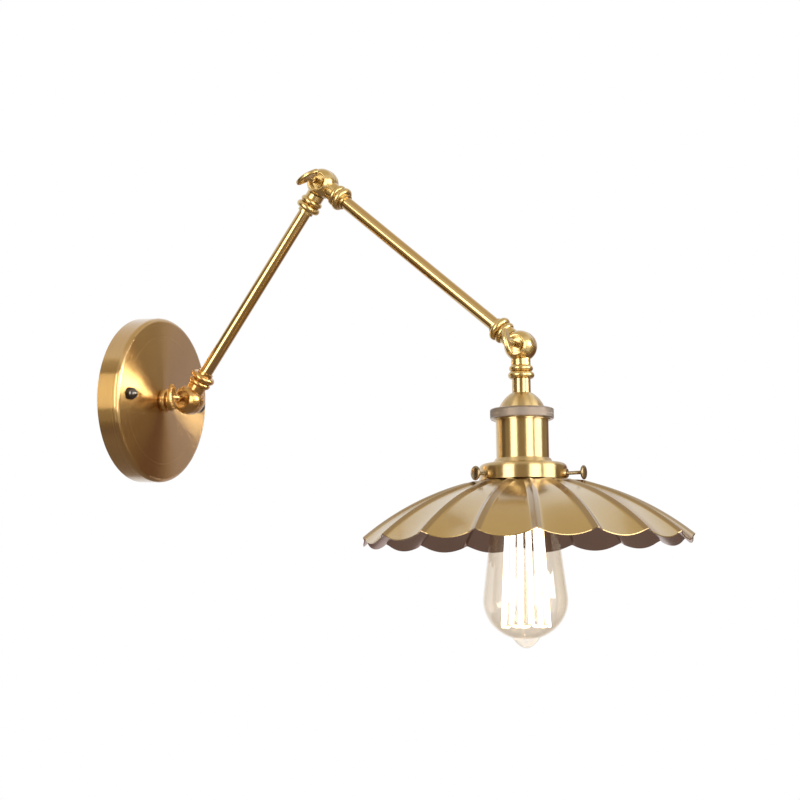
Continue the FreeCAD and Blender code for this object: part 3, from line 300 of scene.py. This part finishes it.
def knurl_ring():
    """Knurled ring: two families of helical V grooves cross on the outside of the turned ring.

    The dent is the deeper of two triangle waves, one rising and one falling round the ring. Each row of the
    profile has a radius, a level and the share of the dent that lowers its radius.
    """
    wall = np.linspace(RING_END - RING_EDGE, RING_TOP + RING_EDGE, WALL_ROWS)
    outside = np.stack(np.broadcast_arrays(RING_RADIUS, wall, 1.0), axis=1)
    corner = np.linspace(0.0, math.pi / 2, CORNER_ROWS + 1)[1:]
    round_over = RING_RADIUS - RING_EDGE * (1.0 - np.cos(corner))
    inset = RING_EDGE * (1.0 - np.sin(corner))
    upper = np.stack(np.broadcast_arrays(round_over, RING_TOP + inset, 0.0), axis=1)
    lower = np.stack(np.broadcast_arrays(round_over, RING_END - inset, 0.0), axis=1)
    within = np.array([[RING_LIP, RING_TOP, 0.0], [RING_LIP, RING_LIP_END, 0.0],
                       [RING_BORE, RING_LIP_END, 0.0], [RING_BORE, RING_END, 0.0]])
    profile = np.concatenate([outside, upper, within, lower[::-1]])
    angle = np.linspace(0.0, 2.0 * np.pi, KNURL_COUNT * KNURL_COLUMNS, endpoint=False)[None, :]
    radius, level, share = (column[:, None] for column in profile.T)
    around = angle * KNURL_COUNT / (2.0 * np.pi)
    along = level * KNURL_COUNT / (2.0 * np.pi * RING_RADIUS)
    dent = KNURL_DEPTH * (1.0 - np.minimum(triangle(around + along), triangle(around - along)))
    points = on_head(radius - share * dent, angle, level)
    piece = put_mesh("knurled_ring_cut", points, grid_faces(*dent.shape))
    return take_place(piece, "head", "knurled_ring")


def gallery_screw(number, turn):
    """Gallery screw: a turned shank under a lens head, with a helical V thread on the shank.

    The thread lowers the radius by a triangle wave of the way along the screw less one turn per pitch.
    """
    angle = math.radians(turn)
    push = SHADE_ASIDE * math.cos(angle) - SHADE_OUTWARD * math.sin(angle)
    reach = SCREW_REACH + push
    tip = COLLAR_RADIUS + SCREW_SEAT + push
    neck = reach - SCREW_LENS
    shank = np.arange(tip + SCREW_LEAD, neck - SCREW_RELIEF, THREAD_PITCH / THREAD_ROWS)
    lens = np.linspace(0.0, 1.0, LENS_ROWS)
    under = np.stack([SCREW_SHANK + (SCREW_HEAD - SCREW_SHANK) * np.sqrt(lens),
                      neck + (SCREW_LENS - SCREW_EDGE) * lens ** SCREW_UNDERCUT], axis=1)
    over = np.stack([SCREW_HEAD * np.cos(lens * math.pi / 2), reach + SCREW_EDGE
                     + (SCREW_LENS - SCREW_EDGE) * np.sin(lens * math.pi / 2)], axis=1)
    over[-1, 0] = 0.0
    profile = np.concatenate([[[0.0, tip], [SCREW_SHANK - THREAD_DEPTH, tip]],
                              np.stack(np.broadcast_arrays(SCREW_SHANK, shank), axis=1), under, over])
    share = np.zeros(len(profile))
    share[2:2 + len(shank)] = 1.0
    around = np.linspace(0.0, 2.0 * np.pi, SCREW_COLUMNS, endpoint=False)[None, :]
    radius, along = (column[:, None] for column in profile.T)
    thread = 1.0 - triangle(along / THREAD_PITCH - around / (2.0 * np.pi))
    radius = radius - share[:, None] * THREAD_DEPTH * thread
    way = np.cos(angle) * SIDE - np.sin(angle) * OUT
    cross = np.cross(way, DOWN)
    centre = HEAD_PIVOT + DOWN * SCREW_LEVEL * MM
    points = centre + MM * (along[..., None] * way + (radius * np.cos(around))[..., None] * DOWN
                            - (radius * np.sin(around))[..., None] * cross)
    name = "gallery_screw_%d" % number
    piece = put_mesh(name + "_cut", pole_points(points), pole_faces(len(profile) - 2, SCREW_COLUMNS),
                     SCREW_CREASE)
    return take_place(piece, name, name)


def arc(start, end, radius, count):
    """Points of a circle of a signed radius from a start to just short of an end; below zero is hollow."""
    start, end = np.array(start), np.array(end)
    chord = end - start
    half = np.linalg.norm(chord) / 2
    across = np.array([-chord[1], chord[0]]) / (2 * half)
    centre = (start + end) / 2 + across * math.copysign(math.sqrt(radius ** 2 - half ** 2), radius)
    first, last = (math.atan2(spot[1] - centre[1], spot[0] - centre[0]) for spot in (start, end))
    sweep = (last - first + math.pi) % (2.0 * math.pi) - math.pi
    angle = first + sweep * np.linspace(0.0, 1.0, count, endpoint=False)
    return centre + abs(radius) * np.stack([np.cos(angle), np.sin(angle)], axis=1)


def blown_glass():
    """Bulb glass: a neck that flares in two arcs, a straight cone and a flattened ball, turned round the axis.

    The inside is the outline moved inward along its normals by the wall. Below the ball stands the pip, whose
    level falls from its point with the square of the radius.
    """
    lean = math.radians(GLASS_LEAN)
    widest = (GLASS_RADIUS * math.cos(lean), GLASS_MIDDLE - GLASS_RADIUS * math.sin(lean))
    dip = np.linspace(-lean, math.pi / 2, BOWL_ROWS)
    bowl = np.stack([GLASS_RADIUS * np.cos(dip), GLASS_MIDDLE + np.sin(dip)
                     * np.where(dip < 0.0, GLASS_RADIUS, BOWL_DEPTH)], axis=1)
    outline = np.concatenate([
        np.linspace((GLASS_NECK, GLASS_TOP), (GLASS_NECK, GLASS_MOUTH), NECK_ROWS, endpoint=False),
        arc((GLASS_NECK, GLASS_MOUTH), GLASS_SHOULDER[0], -GLASS_FLARE, FLARE_ROWS),
        arc(*GLASS_SHOULDER, GLASS_BEND, SHOULDER_ROWS),
        np.linspace(GLASS_SHOULDER[1], widest, CONE_ROWS, endpoint=False), bowl])
    along = np.gradient(outline, axis=0)
    along = along / np.linalg.norm(along, axis=1, keepdims=True)
    inside = outline + GLASS_WALL * np.stack([-along[:, 1], along[:, 0]], axis=1)
    inside[-1, 0] = 0.0
    foot = GLASS_MIDDLE + BOWL_DEPTH * math.sqrt(1.0 - (PIP_RADIUS / GLASS_RADIUS) ** 2)
    share = np.linspace(1.0, 0.0, PIP_ROWS)
    pip = np.stack([PIP_RADIUS * share, GLASS_END - (GLASS_END - foot) * share ** 2], axis=1)
    outside = np.concatenate([outline[outline[:, 0] > PIP_RADIUS], pip])
    profile = np.concatenate([outside[::-1], inside])
    around = np.linspace(0.0, 2.0 * np.pi, GLASS_COLUMNS, endpoint=False)[None, :]
    radius, level = (column[:, None] for column in profile.T)
    points = pole_points(on_head(radius, around, level))
    piece = put_mesh("bulb_blown_glass", points, pole_faces(len(profile) - 2, GLASS_COLUMNS))
    return take_place(piece, "bulb", "bulb_glass")


def filament():
    """Filament: one wire that runs up and down the cage and turns over a hook at the end of each strand.

    Along the wire the level is a strand's straight share, then a hairpin that swings to the next strand
    in half a turn. A circle of points is carried along that path.
    """
    strand, share = np.meshgrid(np.arange(STRANDS), np.linspace(0.0, 1.0, STRAND_ROWS, endpoint=False),
                                indexing="ij")
    straight = np.clip(share / STRAIGHT_SHARE, 0.0, 1.0)
    swing = np.clip((share - STRAIGHT_SHARE) / (1.0 - STRAIGHT_SHARE), 0.0, 1.0)
    downward = strand % 2 == 0
    way = np.where(downward, straight, 1.0 - straight)
    hook = np.where(downward, 1.0, -1.0) * HAIRPIN * np.sin(swing * math.pi)
    turn = (strand + 0.5 + 0.5 * (1.0 - np.cos(swing * math.pi))) * 2.0 * math.pi / STRANDS
    level = (CAGE_TOP + (CAGE_END - CAGE_TOP) * way + hook).ravel()
    radius = (CAGE_TOP_RADIUS + (CAGE_END_RADIUS - CAGE_TOP_RADIUS) * way).ravel()
    turn = turn.ravel()
    path = on_head(radius, turn, level)
    ahead = np.roll(path, -1, axis=0) - np.roll(path, 1, axis=0)
    ahead = ahead / np.linalg.norm(ahead, axis=1, keepdims=True)
    outward = path - HEAD_PIVOT
    outward = outward - (outward @ DOWN)[:, None] * DOWN
    outward = outward - np.sum(outward * ahead, axis=1, keepdims=True) * ahead
    outward = outward / np.linalg.norm(outward, axis=1, keepdims=True)
    aside = np.cross(ahead, outward)
    around = np.linspace(0.0, 2.0 * np.pi, WIRE_SIDES, endpoint=False)[None, :, None]
    points = path[:, None, :] + STRAND_RADIUS * MM * (np.cos(around) * outward[:, None, :]
                                                     - np.sin(around) * aside[:, None, :])
    piece = put_mesh("filament_wire", points, grid_faces(len(path), WIRE_SIDES))
    return take_place(piece, "bulb", "bulb_filament")


# Materials

# Grain of the finishes in repeats to the metre, how deep it is, and how it spreads roughness and tone
PATCH_GRAIN = 45.0
TURNED_GRAIN = 1500.0
DRAWN_GRAIN = 800.0
POLISHED_GRAIN = 150.0
SHADE_PATCH_GRAIN = 30.0
SHADE_TURNED_GRAIN = 900.0
PLAIN_GRAIN = 120.0
HEAT_GRAIN = 60.0
GRAIN_DEPTH = 0.0001
GRAIN_DETAIL = 3.0
DRAWN_STRETCH = 0.985
MARK_SPREAD = 0.25
PLAIN_SPREAD = 0.15
COAT_SMOOTHING = 0.6
QUARTER_TURN = 0.25


class Finish:
    """Node material, or world, with short calls for adding and joining nodes."""

    def __init__(self, name, owners="materials", output="ShaderNodeOutputMaterial"):
        self.owner = getattr(bpy.data, owners).new(name)
        self.owner.use_nodes = True
        self.tree = self.owner.node_tree
        self.tree.nodes.clear()
        self.output = self.tree.nodes.new(output)

    def add(self, kind, values=None, **settings):
        node = self.tree.nodes.new(kind)
        for key, value in settings.items():
            setattr(node, key, value)
        for socket, value in (values or {}).items():
            self.join(value, node.inputs[socket])
        return node

    def join(self, value, socket):
        if isinstance(value, bpy.types.NodeSocket):
            self.tree.links.new(value, socket)
        else:
            socket.default_value = value

    def vector(self, operation, first, second=(0.0, 0.0, 0.0), out="Vector"):
        return self.add("ShaderNodeVectorMath", {0: first, 1: second}, operation=operation).outputs[out]

    def scaled(self, vector, scale):
        return self.add("ShaderNodeVectorMath", {0: vector, "Scale": scale}, operation="SCALE").outputs[0]

    def place(self):
        return self.add("ShaderNodeTexCoord").outputs["Object"]

    def offset(self, centre):
        """Object coordinates counted from a centre."""
        return self.vector("SUBTRACT", self.place(), tuple(centre))

    def round_axis(self, centre, axis):
        """Vector that runs round an axis through a centre and is as long as the distance from it."""
        return self.vector("CROSS_PRODUCT", tuple(axis), self.offset(centre))

    def radius(self, centre, axis):
        """Distance from an axis through a centre."""
        return self.vector("LENGTH", self.round_axis(centre, axis), out="Value")

    def noise(self, vector, scale):
        return self.add("ShaderNodeTexNoise", {"Vector": vector, "Scale": scale,
                                               "Detail": GRAIN_DETAIL}).outputs["Fac"]

    def turned_lines(self, centre, axis, scale):
        """Noise that is the same all the way round an axis, like the marks of a lathe."""
        along = self.vector("DOT_PRODUCT", self.offset(centre), tuple(axis), "Value")
        spot = self.add("ShaderNodeCombineXYZ", {"X": self.radius(centre, axis), "Y": along}).outputs[0]
        return self.noise(spot, scale)

    def drawn_lines(self, axis, scale):
        """Noise stretched out along an axis, like the marks of drawing a tube."""
        place = self.place()
        along = self.vector("DOT_PRODUCT", place, tuple(axis), "Value")
        back = self.scaled(tuple(axis), along)
        return self.noise(self.vector("ADD", place, self.scaled(back, -DRAWN_STRETCH)), scale)

    def between(self, share, first, second):
        """Number that goes from first to second with a share."""
        return self.add("ShaderNodeMapRange", {"Value": share, "To Min": first, "To Max": second}).outputs[0]

    def blend(self, share, first, second):
        """Colour that goes from first to second with a share."""
        mix = self.add("ShaderNodeMix", {0: share}, data_type="RGBA")
        for socket, color in ((6, first), (7, second)):
            self.join(color if isinstance(color, bpy.types.NodeSocket) else (*color, 1.0), mix.inputs[socket])
        return mix.outputs[2]

    def bump(self, height, strength):
        return self.add("ShaderNodeBump", {"Height": height, "Strength": strength,
                                           "Distance": GRAIN_DEPTH}).outputs[0]

    def finish(self, shader):
        self.tree.links.new(shader, self.output.inputs["Surface"])
        return self.owner


def brass(name, light, dark, rough, lines=None, bump=0.05, brushed=0.0, centre=(0, 0, 0), axis=(0, 0, 1),
          lacquer=0.6, coned=0.0):
    """Lacquered brass with drifting tone; turned or drawn lines carry its fine roughness and bump.

    For a coned face only the shading leans outward from the axis, by that slope; the mesh stays flat.
    """
    finish = Finish(name)
    patches = finish.noise(finish.place(), PATCH_GRAIN)
    if lines == "turned":
        marks = finish.turned_lines(centre, axis, TURNED_GRAIN)
    elif lines == "drawn":
        marks = finish.drawn_lines(axis, DRAWN_GRAIN)
    else:
        marks = finish.noise(finish.place(), POLISHED_GRAIN)
    grain = finish.bump(marks, bump)
    shader = finish.add("ShaderNodeBsdfPrincipled", {
        "Base Color": finish.blend(patches, dark, light), "Metallic": 1.0,
        "Roughness": finish.between(marks, rough * (1.0 - MARK_SPREAD), rough * (1.0 + MARK_SPREAD)),
        "Coat Weight": lacquer, "Coat Roughness": rough * COAT_SMOOTHING, "Normal": grain})
    if coned:
        fall = finish.between(finish.radius(centre, axis), 0.0, -coned)
        lean = finish.add("ShaderNodeBump", {"Height": fall, "Strength": 1.0, "Distance": 1.0,
                                             "Normal": grain}).outputs[0]
        finish.join(lean, shader.inputs["Normal"])
        finish.join(lean, shader.inputs["Coat Normal"])
    if brushed:
        shader.inputs["Anisotropic"].default_value = brushed
        shader.inputs["Anisotropic Rotation"].default_value = QUARTER_TURN
        finish.join(finish.vector("NORMALIZE", finish.round_axis(centre, axis)), shader.inputs["Tangent"])
    return finish.finish(shader.outputs[0])


def shade_finish():
    """Pale brass outside with painted shade that makes the ribs browner, and painted shade that makes the inside
    a dull dark mauve-brown, told by the shade's attributes.
    """
    finish = Finish("fluted_shade_brass")
    inside = finish.add("ShaderNodeAttribute", attribute_name="inside").outputs["Fac"]
    rib_shade = finish.add("ShaderNodeAttribute", attribute_name="rib_shade").outputs["Fac"]
    patches = finish.noise(finish.place(), SHADE_PATCH_GRAIN)
    outer = finish.blend(patches, (0.46, 0.31, 0.11), (0.54, 0.375, 0.15))
    # Painted shade: the ribs get a darker, browner brass than the panels
    outer = finish.blend(rib_shade, outer, finish.blend(patches, (0.30, 0.195, 0.085), (0.37, 0.25, 0.12)))
    # Painted shade: the inside gets a dull mauve-brown and a thinner coat instead of the outside's brass
    shaded_inner = finish.blend(patches, (0.36, 0.255, 0.22), (0.50, 0.38, 0.335))
    marks = finish.turned_lines(HEAD_PIVOT, DOWN, SHADE_TURNED_GRAIN)
    shader = finish.add("ShaderNodeBsdfPrincipled", {
        "Base Color": finish.blend(inside, outer, shaded_inner), "Metallic": 1.0,
        "Roughness": finish.between(marks, 0.2, 0.28), "Coat Weight": finish.between(inside, 0.8, 0.2),
        "Coat Roughness": 0.15, "Normal": finish.bump(marks, 0.01)})
    return finish.finish(shader.outputs[0])


def plain(name, color, rough, metallic=0.0):
    """Plain finish whose tone drifts slightly."""
    finish = Finish(name)
    patches = finish.noise(finish.place(), PLAIN_GRAIN)
    shader = finish.add("ShaderNodeBsdfPrincipled", {
        "Base Color": finish.blend(patches, tuple(part * (1.0 - PLAIN_SPREAD) for part in color), color),
        "Roughness": finish.between(patches, rough * (1.0 - PLAIN_SPREAD), rough * (1.0 + PLAIN_SPREAD)),
        "Metallic": metallic})
    return finish.finish(shader.outputs[0])


def bulb_glass_finish(name, middle, edge):
    """Thin clear glass with a warm tint that deepens where it is seen edge on."""
    finish = Finish(name)
    facing = finish.add("ShaderNodeLayerWeight", {"Blend": 0.35}).outputs["Facing"]
    clear = finish.add("ShaderNodeBsdfTransparent", {"Color": finish.blend(facing, middle, edge)}).outputs[0]
    gloss = finish.add("ShaderNodeBsdfGlossy", {"Color": (*WHITE, 1.0), "Roughness": 0.02}).outputs[0]
    sheen = finish.between(finish.add("ShaderNodeLayerWeight", {"Blend": 0.5}).outputs["Facing"], 0.03, 0.16)
    return finish.finish(finish.add("ShaderNodeMixShader", {0: sheen, 1: clear, 2: gloss}).outputs[0])


def filament_finish():
    """Glowing wire, hotter in some places than in others."""
    finish = Finish("glowing_filament")
    heat = finish.noise(finish.place(), HEAT_GRAIN)
    glow = finish.add("ShaderNodeEmission", {"Color": finish.blend(heat, (1.0, 0.74, 0.43), (1.0, 0.86, 0.61)),
                                             "Strength": finish.between(heat, 5.0, 9.0)}).outputs[0]
    return finish.finish(glow)


def dress(names, material):
    """Give nodes of the construction one material."""
    for name in names:
        mesh = nodes[name].data
        mesh.materials.clear()
        mesh.materials.append(material)


# Studio

# Places and distances in metres, and the colours of the surroundings
STUDIO_CENTRE = Vector((0.0, -0.22, 0.0))
CANOPY_MIDDLE = Vector((0.0, -0.0186, 0.0))
HOLDER_MIDDLE = Vector((0.0, -0.33, -0.04))
LAMP_DISTANCE = 1.7
BOARD_DISTANCE = 2.4
BOARD_COLUMNS = 24
BOARD_ROWS = 12
FLOOR_MIDDLE = (0.0, -0.25, -1.4)
FLOOR_HALF = 40.0
FADE_START = 0.6
FADE_END = 2.4
FADE_LEAST = 0.3
WHITE = (1.0, 1.0, 1.0)
DIM_GREY = (0.45, 0.45, 0.45)
PALE_GREY = (0.85, 0.85, 0.85)
DARK_BROWN = (0.12, 0.08, 0.05)
RED_BROWN = (0.16, 0.08, 0.045)
UMBER = (0.2, 0.15, 0.10)
TAUPE = (0.27, 0.215, 0.18)
OLIVE = (0.38, 0.31, 0.20)
MAUVE = (0.70, 0.62, 0.60)
CREAM = (0.82, 0.74, 0.58)


def direction(turn, elevation):
    """Unit vector at a turn to the right of the camera and an elevation, seen from the lamp."""
    azimuth = math.radians(CAMERA_AZIMUTH + turn)
    rise = math.radians(elevation)
    return Vector((math.sin(azimuth) * math.cos(rise), -math.cos(azimuth) * math.cos(rise), math.sin(rise)))


def build_camera():
    """Camera at the fitted place, turned by its azimuth, elevation and roll."""
    roll = math.radians(CAMERA_ROLL)
    back = direction(0.0, CAMERA_ELEVATION)
    level = direction(90.0, 0.0)
    upright = back.cross(level)
    right = level * math.cos(roll) + upright * math.sin(roll)
    up = upright * math.cos(roll) - level * math.sin(roll)
    data = bpy.data.cameras.new("photo_camera")
    data.sensor_width = SENSOR_WIDTH
    data.sensor_fit = "HORIZONTAL"
    data.lens = SENSOR_WIDTH * FOCAL_LENGTH_OVER_WIDTH
    camera = bpy.data.objects.new("photo_camera", data)
    camera.matrix_world = Matrix.Translation(CAMERA_PLACE) @ Matrix((right, up, back)).transposed().to_4x4()
    bpy.context.scene.collection.objects.link(camera)
    bpy.context.scene.camera = camera


def softbox(name, turn, elevation, size, power, distance=LAMP_DISTANCE, centre=STUDIO_CENTRE, spread=180.0):
    """Rectangular lamp in a direction seen from a centre, facing it."""
    toward = direction(turn, elevation)
    data = bpy.data.lights.new(name, "AREA")
    data.shape = "RECTANGLE"
    data.size, data.size_y = size
    data.energy = power
    data.spread = math.radians(spread)
    lamp = bpy.data.objects.new(name, data)
    lamp.location = centre + toward * distance
    lamp.rotation_euler = toward.to_track_quat("Z", "Y").to_euler()
    lamp.visible_camera = False
    bpy.context.scene.collection.objects.link(lamp)


def seen_white(finish, unseen, part=None):
    """White to the camera, to gloss and through glass, or a part of it; the given shader to other light."""
    white_kind = "ShaderNodeBackground" if unseen.bl_idname == "ShaderNodeBackground" else "ShaderNodeEmission"
    white = finish.add(white_kind, {"Color": (*WHITE, 1.0), "Strength": 1.0})
    path = finish.add("ShaderNodeLightPath")
    shown = finish.add("ShaderNodeMath", {0: path.outputs["Is Camera Ray"], 1: path.outputs["Is Glossy Ray"]},
                       operation="MAXIMUM").outputs[0]
    shown = finish.add("ShaderNodeMath", {0: shown, 1: path.outputs["Is Transmission Ray"]},
                       operation="MAXIMUM").outputs[0]
    if part is not None:
        shown = finish.add("ShaderNodeMath", {0: shown, 1: part}, operation="MULTIPLY").outputs[0]
    return finish.add("ShaderNodeMixShader", {0: shown, 1: unseen.outputs[0], 2: white.outputs[0]}).outputs[0]


def build_world():
    """White surroundings that light the lamp only dimly."""
    studio = Finish("studio", "worlds", "ShaderNodeOutputWorld")
    dim = studio.add("ShaderNodeBackground", {"Color": (*DIM_GREY, 1.0)})
    bpy.context.scene.world = studio.finish(seen_white(studio, dim))


def board(name, turns, elevations, color, distance=BOARD_DISTANCE, centre=STUDIO_CENTRE):
    """Board out of the picture: a patch of a sphere round a centre between two turns and elevations."""
    turn, rise = np.meshgrid(np.radians(np.linspace(*turns, BOARD_COLUMNS) + CAMERA_AZIMUTH),
                             np.radians(np.linspace(*elevations, BOARD_ROWS)), indexing="ij")
    points = np.stack([np.sin(turn) * np.cos(rise), -np.cos(turn) * np.cos(rise), np.sin(rise)], axis=-1)
    points = points * distance + np.array(centre)
    column, row = np.meshgrid(np.arange(BOARD_COLUMNS - 1), np.arange(BOARD_ROWS - 1), indexing="ij")
    corner = (column * BOARD_ROWS + row).ravel()
    faces = np.stack([corner, corner + 1, corner + BOARD_ROWS + 1, corner + BOARD_ROWS], axis=1)
    piece = put_mesh(name, points, faces.tolist())
    finish = Finish(name + "_cloth")
    cloth = finish.add("ShaderNodeEmission", {"Color": (*color, 1.0), "Strength": 1.0}).outputs[0]
    piece.data.materials.append(finish.finish(cloth))
    piece.visible_camera = False
    piece.visible_diffuse = False
    piece.visible_shadow = False


def build_floor():
    """Pale floor that keeps the lamp's shadow below it and fades to white farther away."""
    points = np.array([[-1, -1, 0], [1, -1, 0], [1, 1, 0], [-1, 1, 0]]) * FLOOR_HALF + (0, 0, FLOOR_MIDDLE[2])
    floor = put_mesh("floor", points, [[0, 1, 2, 3]])
    finish = Finish("pale_floor")
    pale = finish.add("ShaderNodeBsdfDiffuse", {"Color": (*PALE_GREY, 1.0)})
    away = finish.vector("LENGTH", finish.offset(FLOOR_MIDDLE), out="Value")
    fade = finish.add("ShaderNodeMapRange", {"Value": away, "From Min": FADE_START, "From Max": FADE_END,
                                             "To Min": FADE_LEAST, "To Max": 1.0},
                      interpolation_type="SMOOTHSTEP").outputs[0]
    floor.data.materials.append(finish.finish(seen_white(finish, pale, fade)))


bpy.context.scene.view_settings.view_transform = "Standard"
build_camera()
build_world()
build_floor()
softbox("left_box", -39.0, 6.0, (0.85, 1.3), 16.0)
softbox("right_box", 30.0, 6.0, (0.80, 1.3), 15.0)
softbox("far_right_box", 69.0, 15.0, (1.0, 0.85), 12.5)
for box_number, box_turn in enumerate((76.0, 84.0, 92.0), start=1):
    softbox("canopy_box_%d" % box_number, box_turn, 10.5, (0.12, 0.12), 0.016, distance=0.8,
            centre=CANOPY_MIDDLE, spread=20.0)
board("right_board", (88.0, 127.0), (-50.0, 34.0), OLIVE)
board("near_board", (126.0, 152.0), (-40.0, 14.0), RED_BROWN, 0.6, HOLDER_MIDDLE)
board("right_back_board", (127.0, 180.0), (-40.0, 24.0), MAUVE)
board("left_board", (-108.0, -82.0), (-40.0, 25.0), DARK_BROWN)
board("left_front_board", (-82.0, -52.0), (-40.0, 40.0), OLIVE)
board("front_board", (-26.0, 14.0), (-40.0, 40.0), OLIVE)
board("slit_board", (45.0, 51.0), (-40.0, 30.0), UMBER)
board("top_board", (-180.0, 180.0), (56.0, 89.0), CREAM)
board("low_board", (-180.0, 180.0), (-89.0, -30.0), TAUPE, 1.3)

# Finishes on the pieces
canopy_brass = brass("brushed_canopy", (0.56, 0.345, 0.12), (0.48, 0.285, 0.09), 0.25, "turned", bump=0.03,
                     brushed=1.0, axis=WALL_AXIS, lacquer=1.0, coned=0.1)
holder_brass = brass("turned_holder", (0.60, 0.43, 0.19), (0.52, 0.36, 0.15), 0.32, "turned", bump=0.03,
                     brushed=0.95, centre=HEAD_PIVOT, axis=DOWN)
for tube, start, end in (("lower", BASE_PIVOT, ELBOW_PIVOT), ("upper", ELBOW_PIVOT, HEAD_PIVOT)):
    way = (end - start) / np.linalg.norm(end - start)
    dress([tube + "_arm_tube"], brass("drawn_%s_tube" % tube, (0.58, 0.38, 0.15), (0.48, 0.31, 0.115), 0.15,
                                      "drawn", bump=0.004, axis=way))
# Painted shade: a darker, more orange copy of the knuckle brass for the joint by the wall
shaded_knuckle_brass = brass("polished_base_knuckle", (0.60, 0.34, 0.10), (0.50, 0.275, 0.075), 0.27, bump=0.001)
cast_brass = brass("polished_knuckle", (0.64, 0.45, 0.18), (0.54, 0.37, 0.13), 0.27, bump=0.001)
dark_brass = brass("dark_antique", (0.30, 0.21, 0.10), (0.21, 0.15, 0.075), 0.28)
pewter = brass("dark_cap_nut", (0.15, 0.13, 0.10), (0.10, 0.085, 0.07), 0.25)
knurl_brass = brass("knurled_band", (0.40, 0.33, 0.27), (0.31, 0.255, 0.21), 0.22)
zinc = plain("zinc_plate", (0.6, 0.61, 0.62), 0.35, 1.0)
bright_wire = plain("bright_wire", (0.92, 0.84, 0.72), 0.4)
contact_brass = plain("bright_contact", (0.75, 0.56, 0.24), 0.25, 1.0)
black_plastic = plain("black_cover", (0.02, 0.02, 0.02), 0.4)
fibre = plain("fibre_washer", (0.6, 0.55, 0.44), 0.7)
porcelain = plain("white_porcelain", (0.85, 0.83, 0.78), 0.15)
orange_plastic = plain("orange_connector", (0.7, 0.25, 0.04), 0.5)
green_paint = plain("green_ground", (0.05, 0.25, 0.08), 0.4)

dress(["canopy"], canopy_brass)
dress(["socket_shell", "socket_neck", "socket_cap", "shade_gallery"], holder_brass)
dress([name for name in nodes if name.endswith(("_knuckle", "thumb_screw"))], cast_brass)
# The joint by the wall takes the painted-shade copy of the knuckle brass
dress(["base_knuckle", "base_thumb_screw", "lower_arm_near_knuckle"], shaded_knuckle_brass)
dress(["canopy_cap_nuts"], pewter)
dress(["mounting_bracket", "bracket_studs", "stud_lock_nuts", "base_nipple", "base_lock_washer",
       "base_hex_nut", "neck_hex_nut", "terminal_screws"], zinc)
dress(["bulb_supports"], bright_wire)
dress(["screw_shell", "centre_contact", "bulb_screw_base", "bulb_tip_contact"], contact_brass)
dress(["bulb_base_insulator", "supply_leads", "lower_arm_wires", "upper_arm_wires", "head_wires"], black_plastic)
dress([name for name in nodes if name.endswith("friction_washer")], fibre)
dress(["socket_insulator"], porcelain)
dress(["wire_connectors"], orange_plastic)
dress(["ground_screw"], green_paint)
dress(["bulb_stem"], bulb_glass_finish("clear_stem_glass", (0.985, 0.975, 0.96), (0.9, 0.87, 0.82)))

fluted_shade().data.materials.append(shade_finish())
knurl_ring().data.materials.append(knurl_brass)
for screw_number, screw_turn in enumerate(SCREW_TURNS, start=1):
    gallery_screw(screw_number, screw_turn).data.materials.append(dark_brass)
blown_glass().data.materials.append(
    bulb_glass_finish("warm_clear_glass", (0.975, 0.945, 0.905), (0.93, 0.89, 0.83)))
filament().data.materials.append(filament_finish())
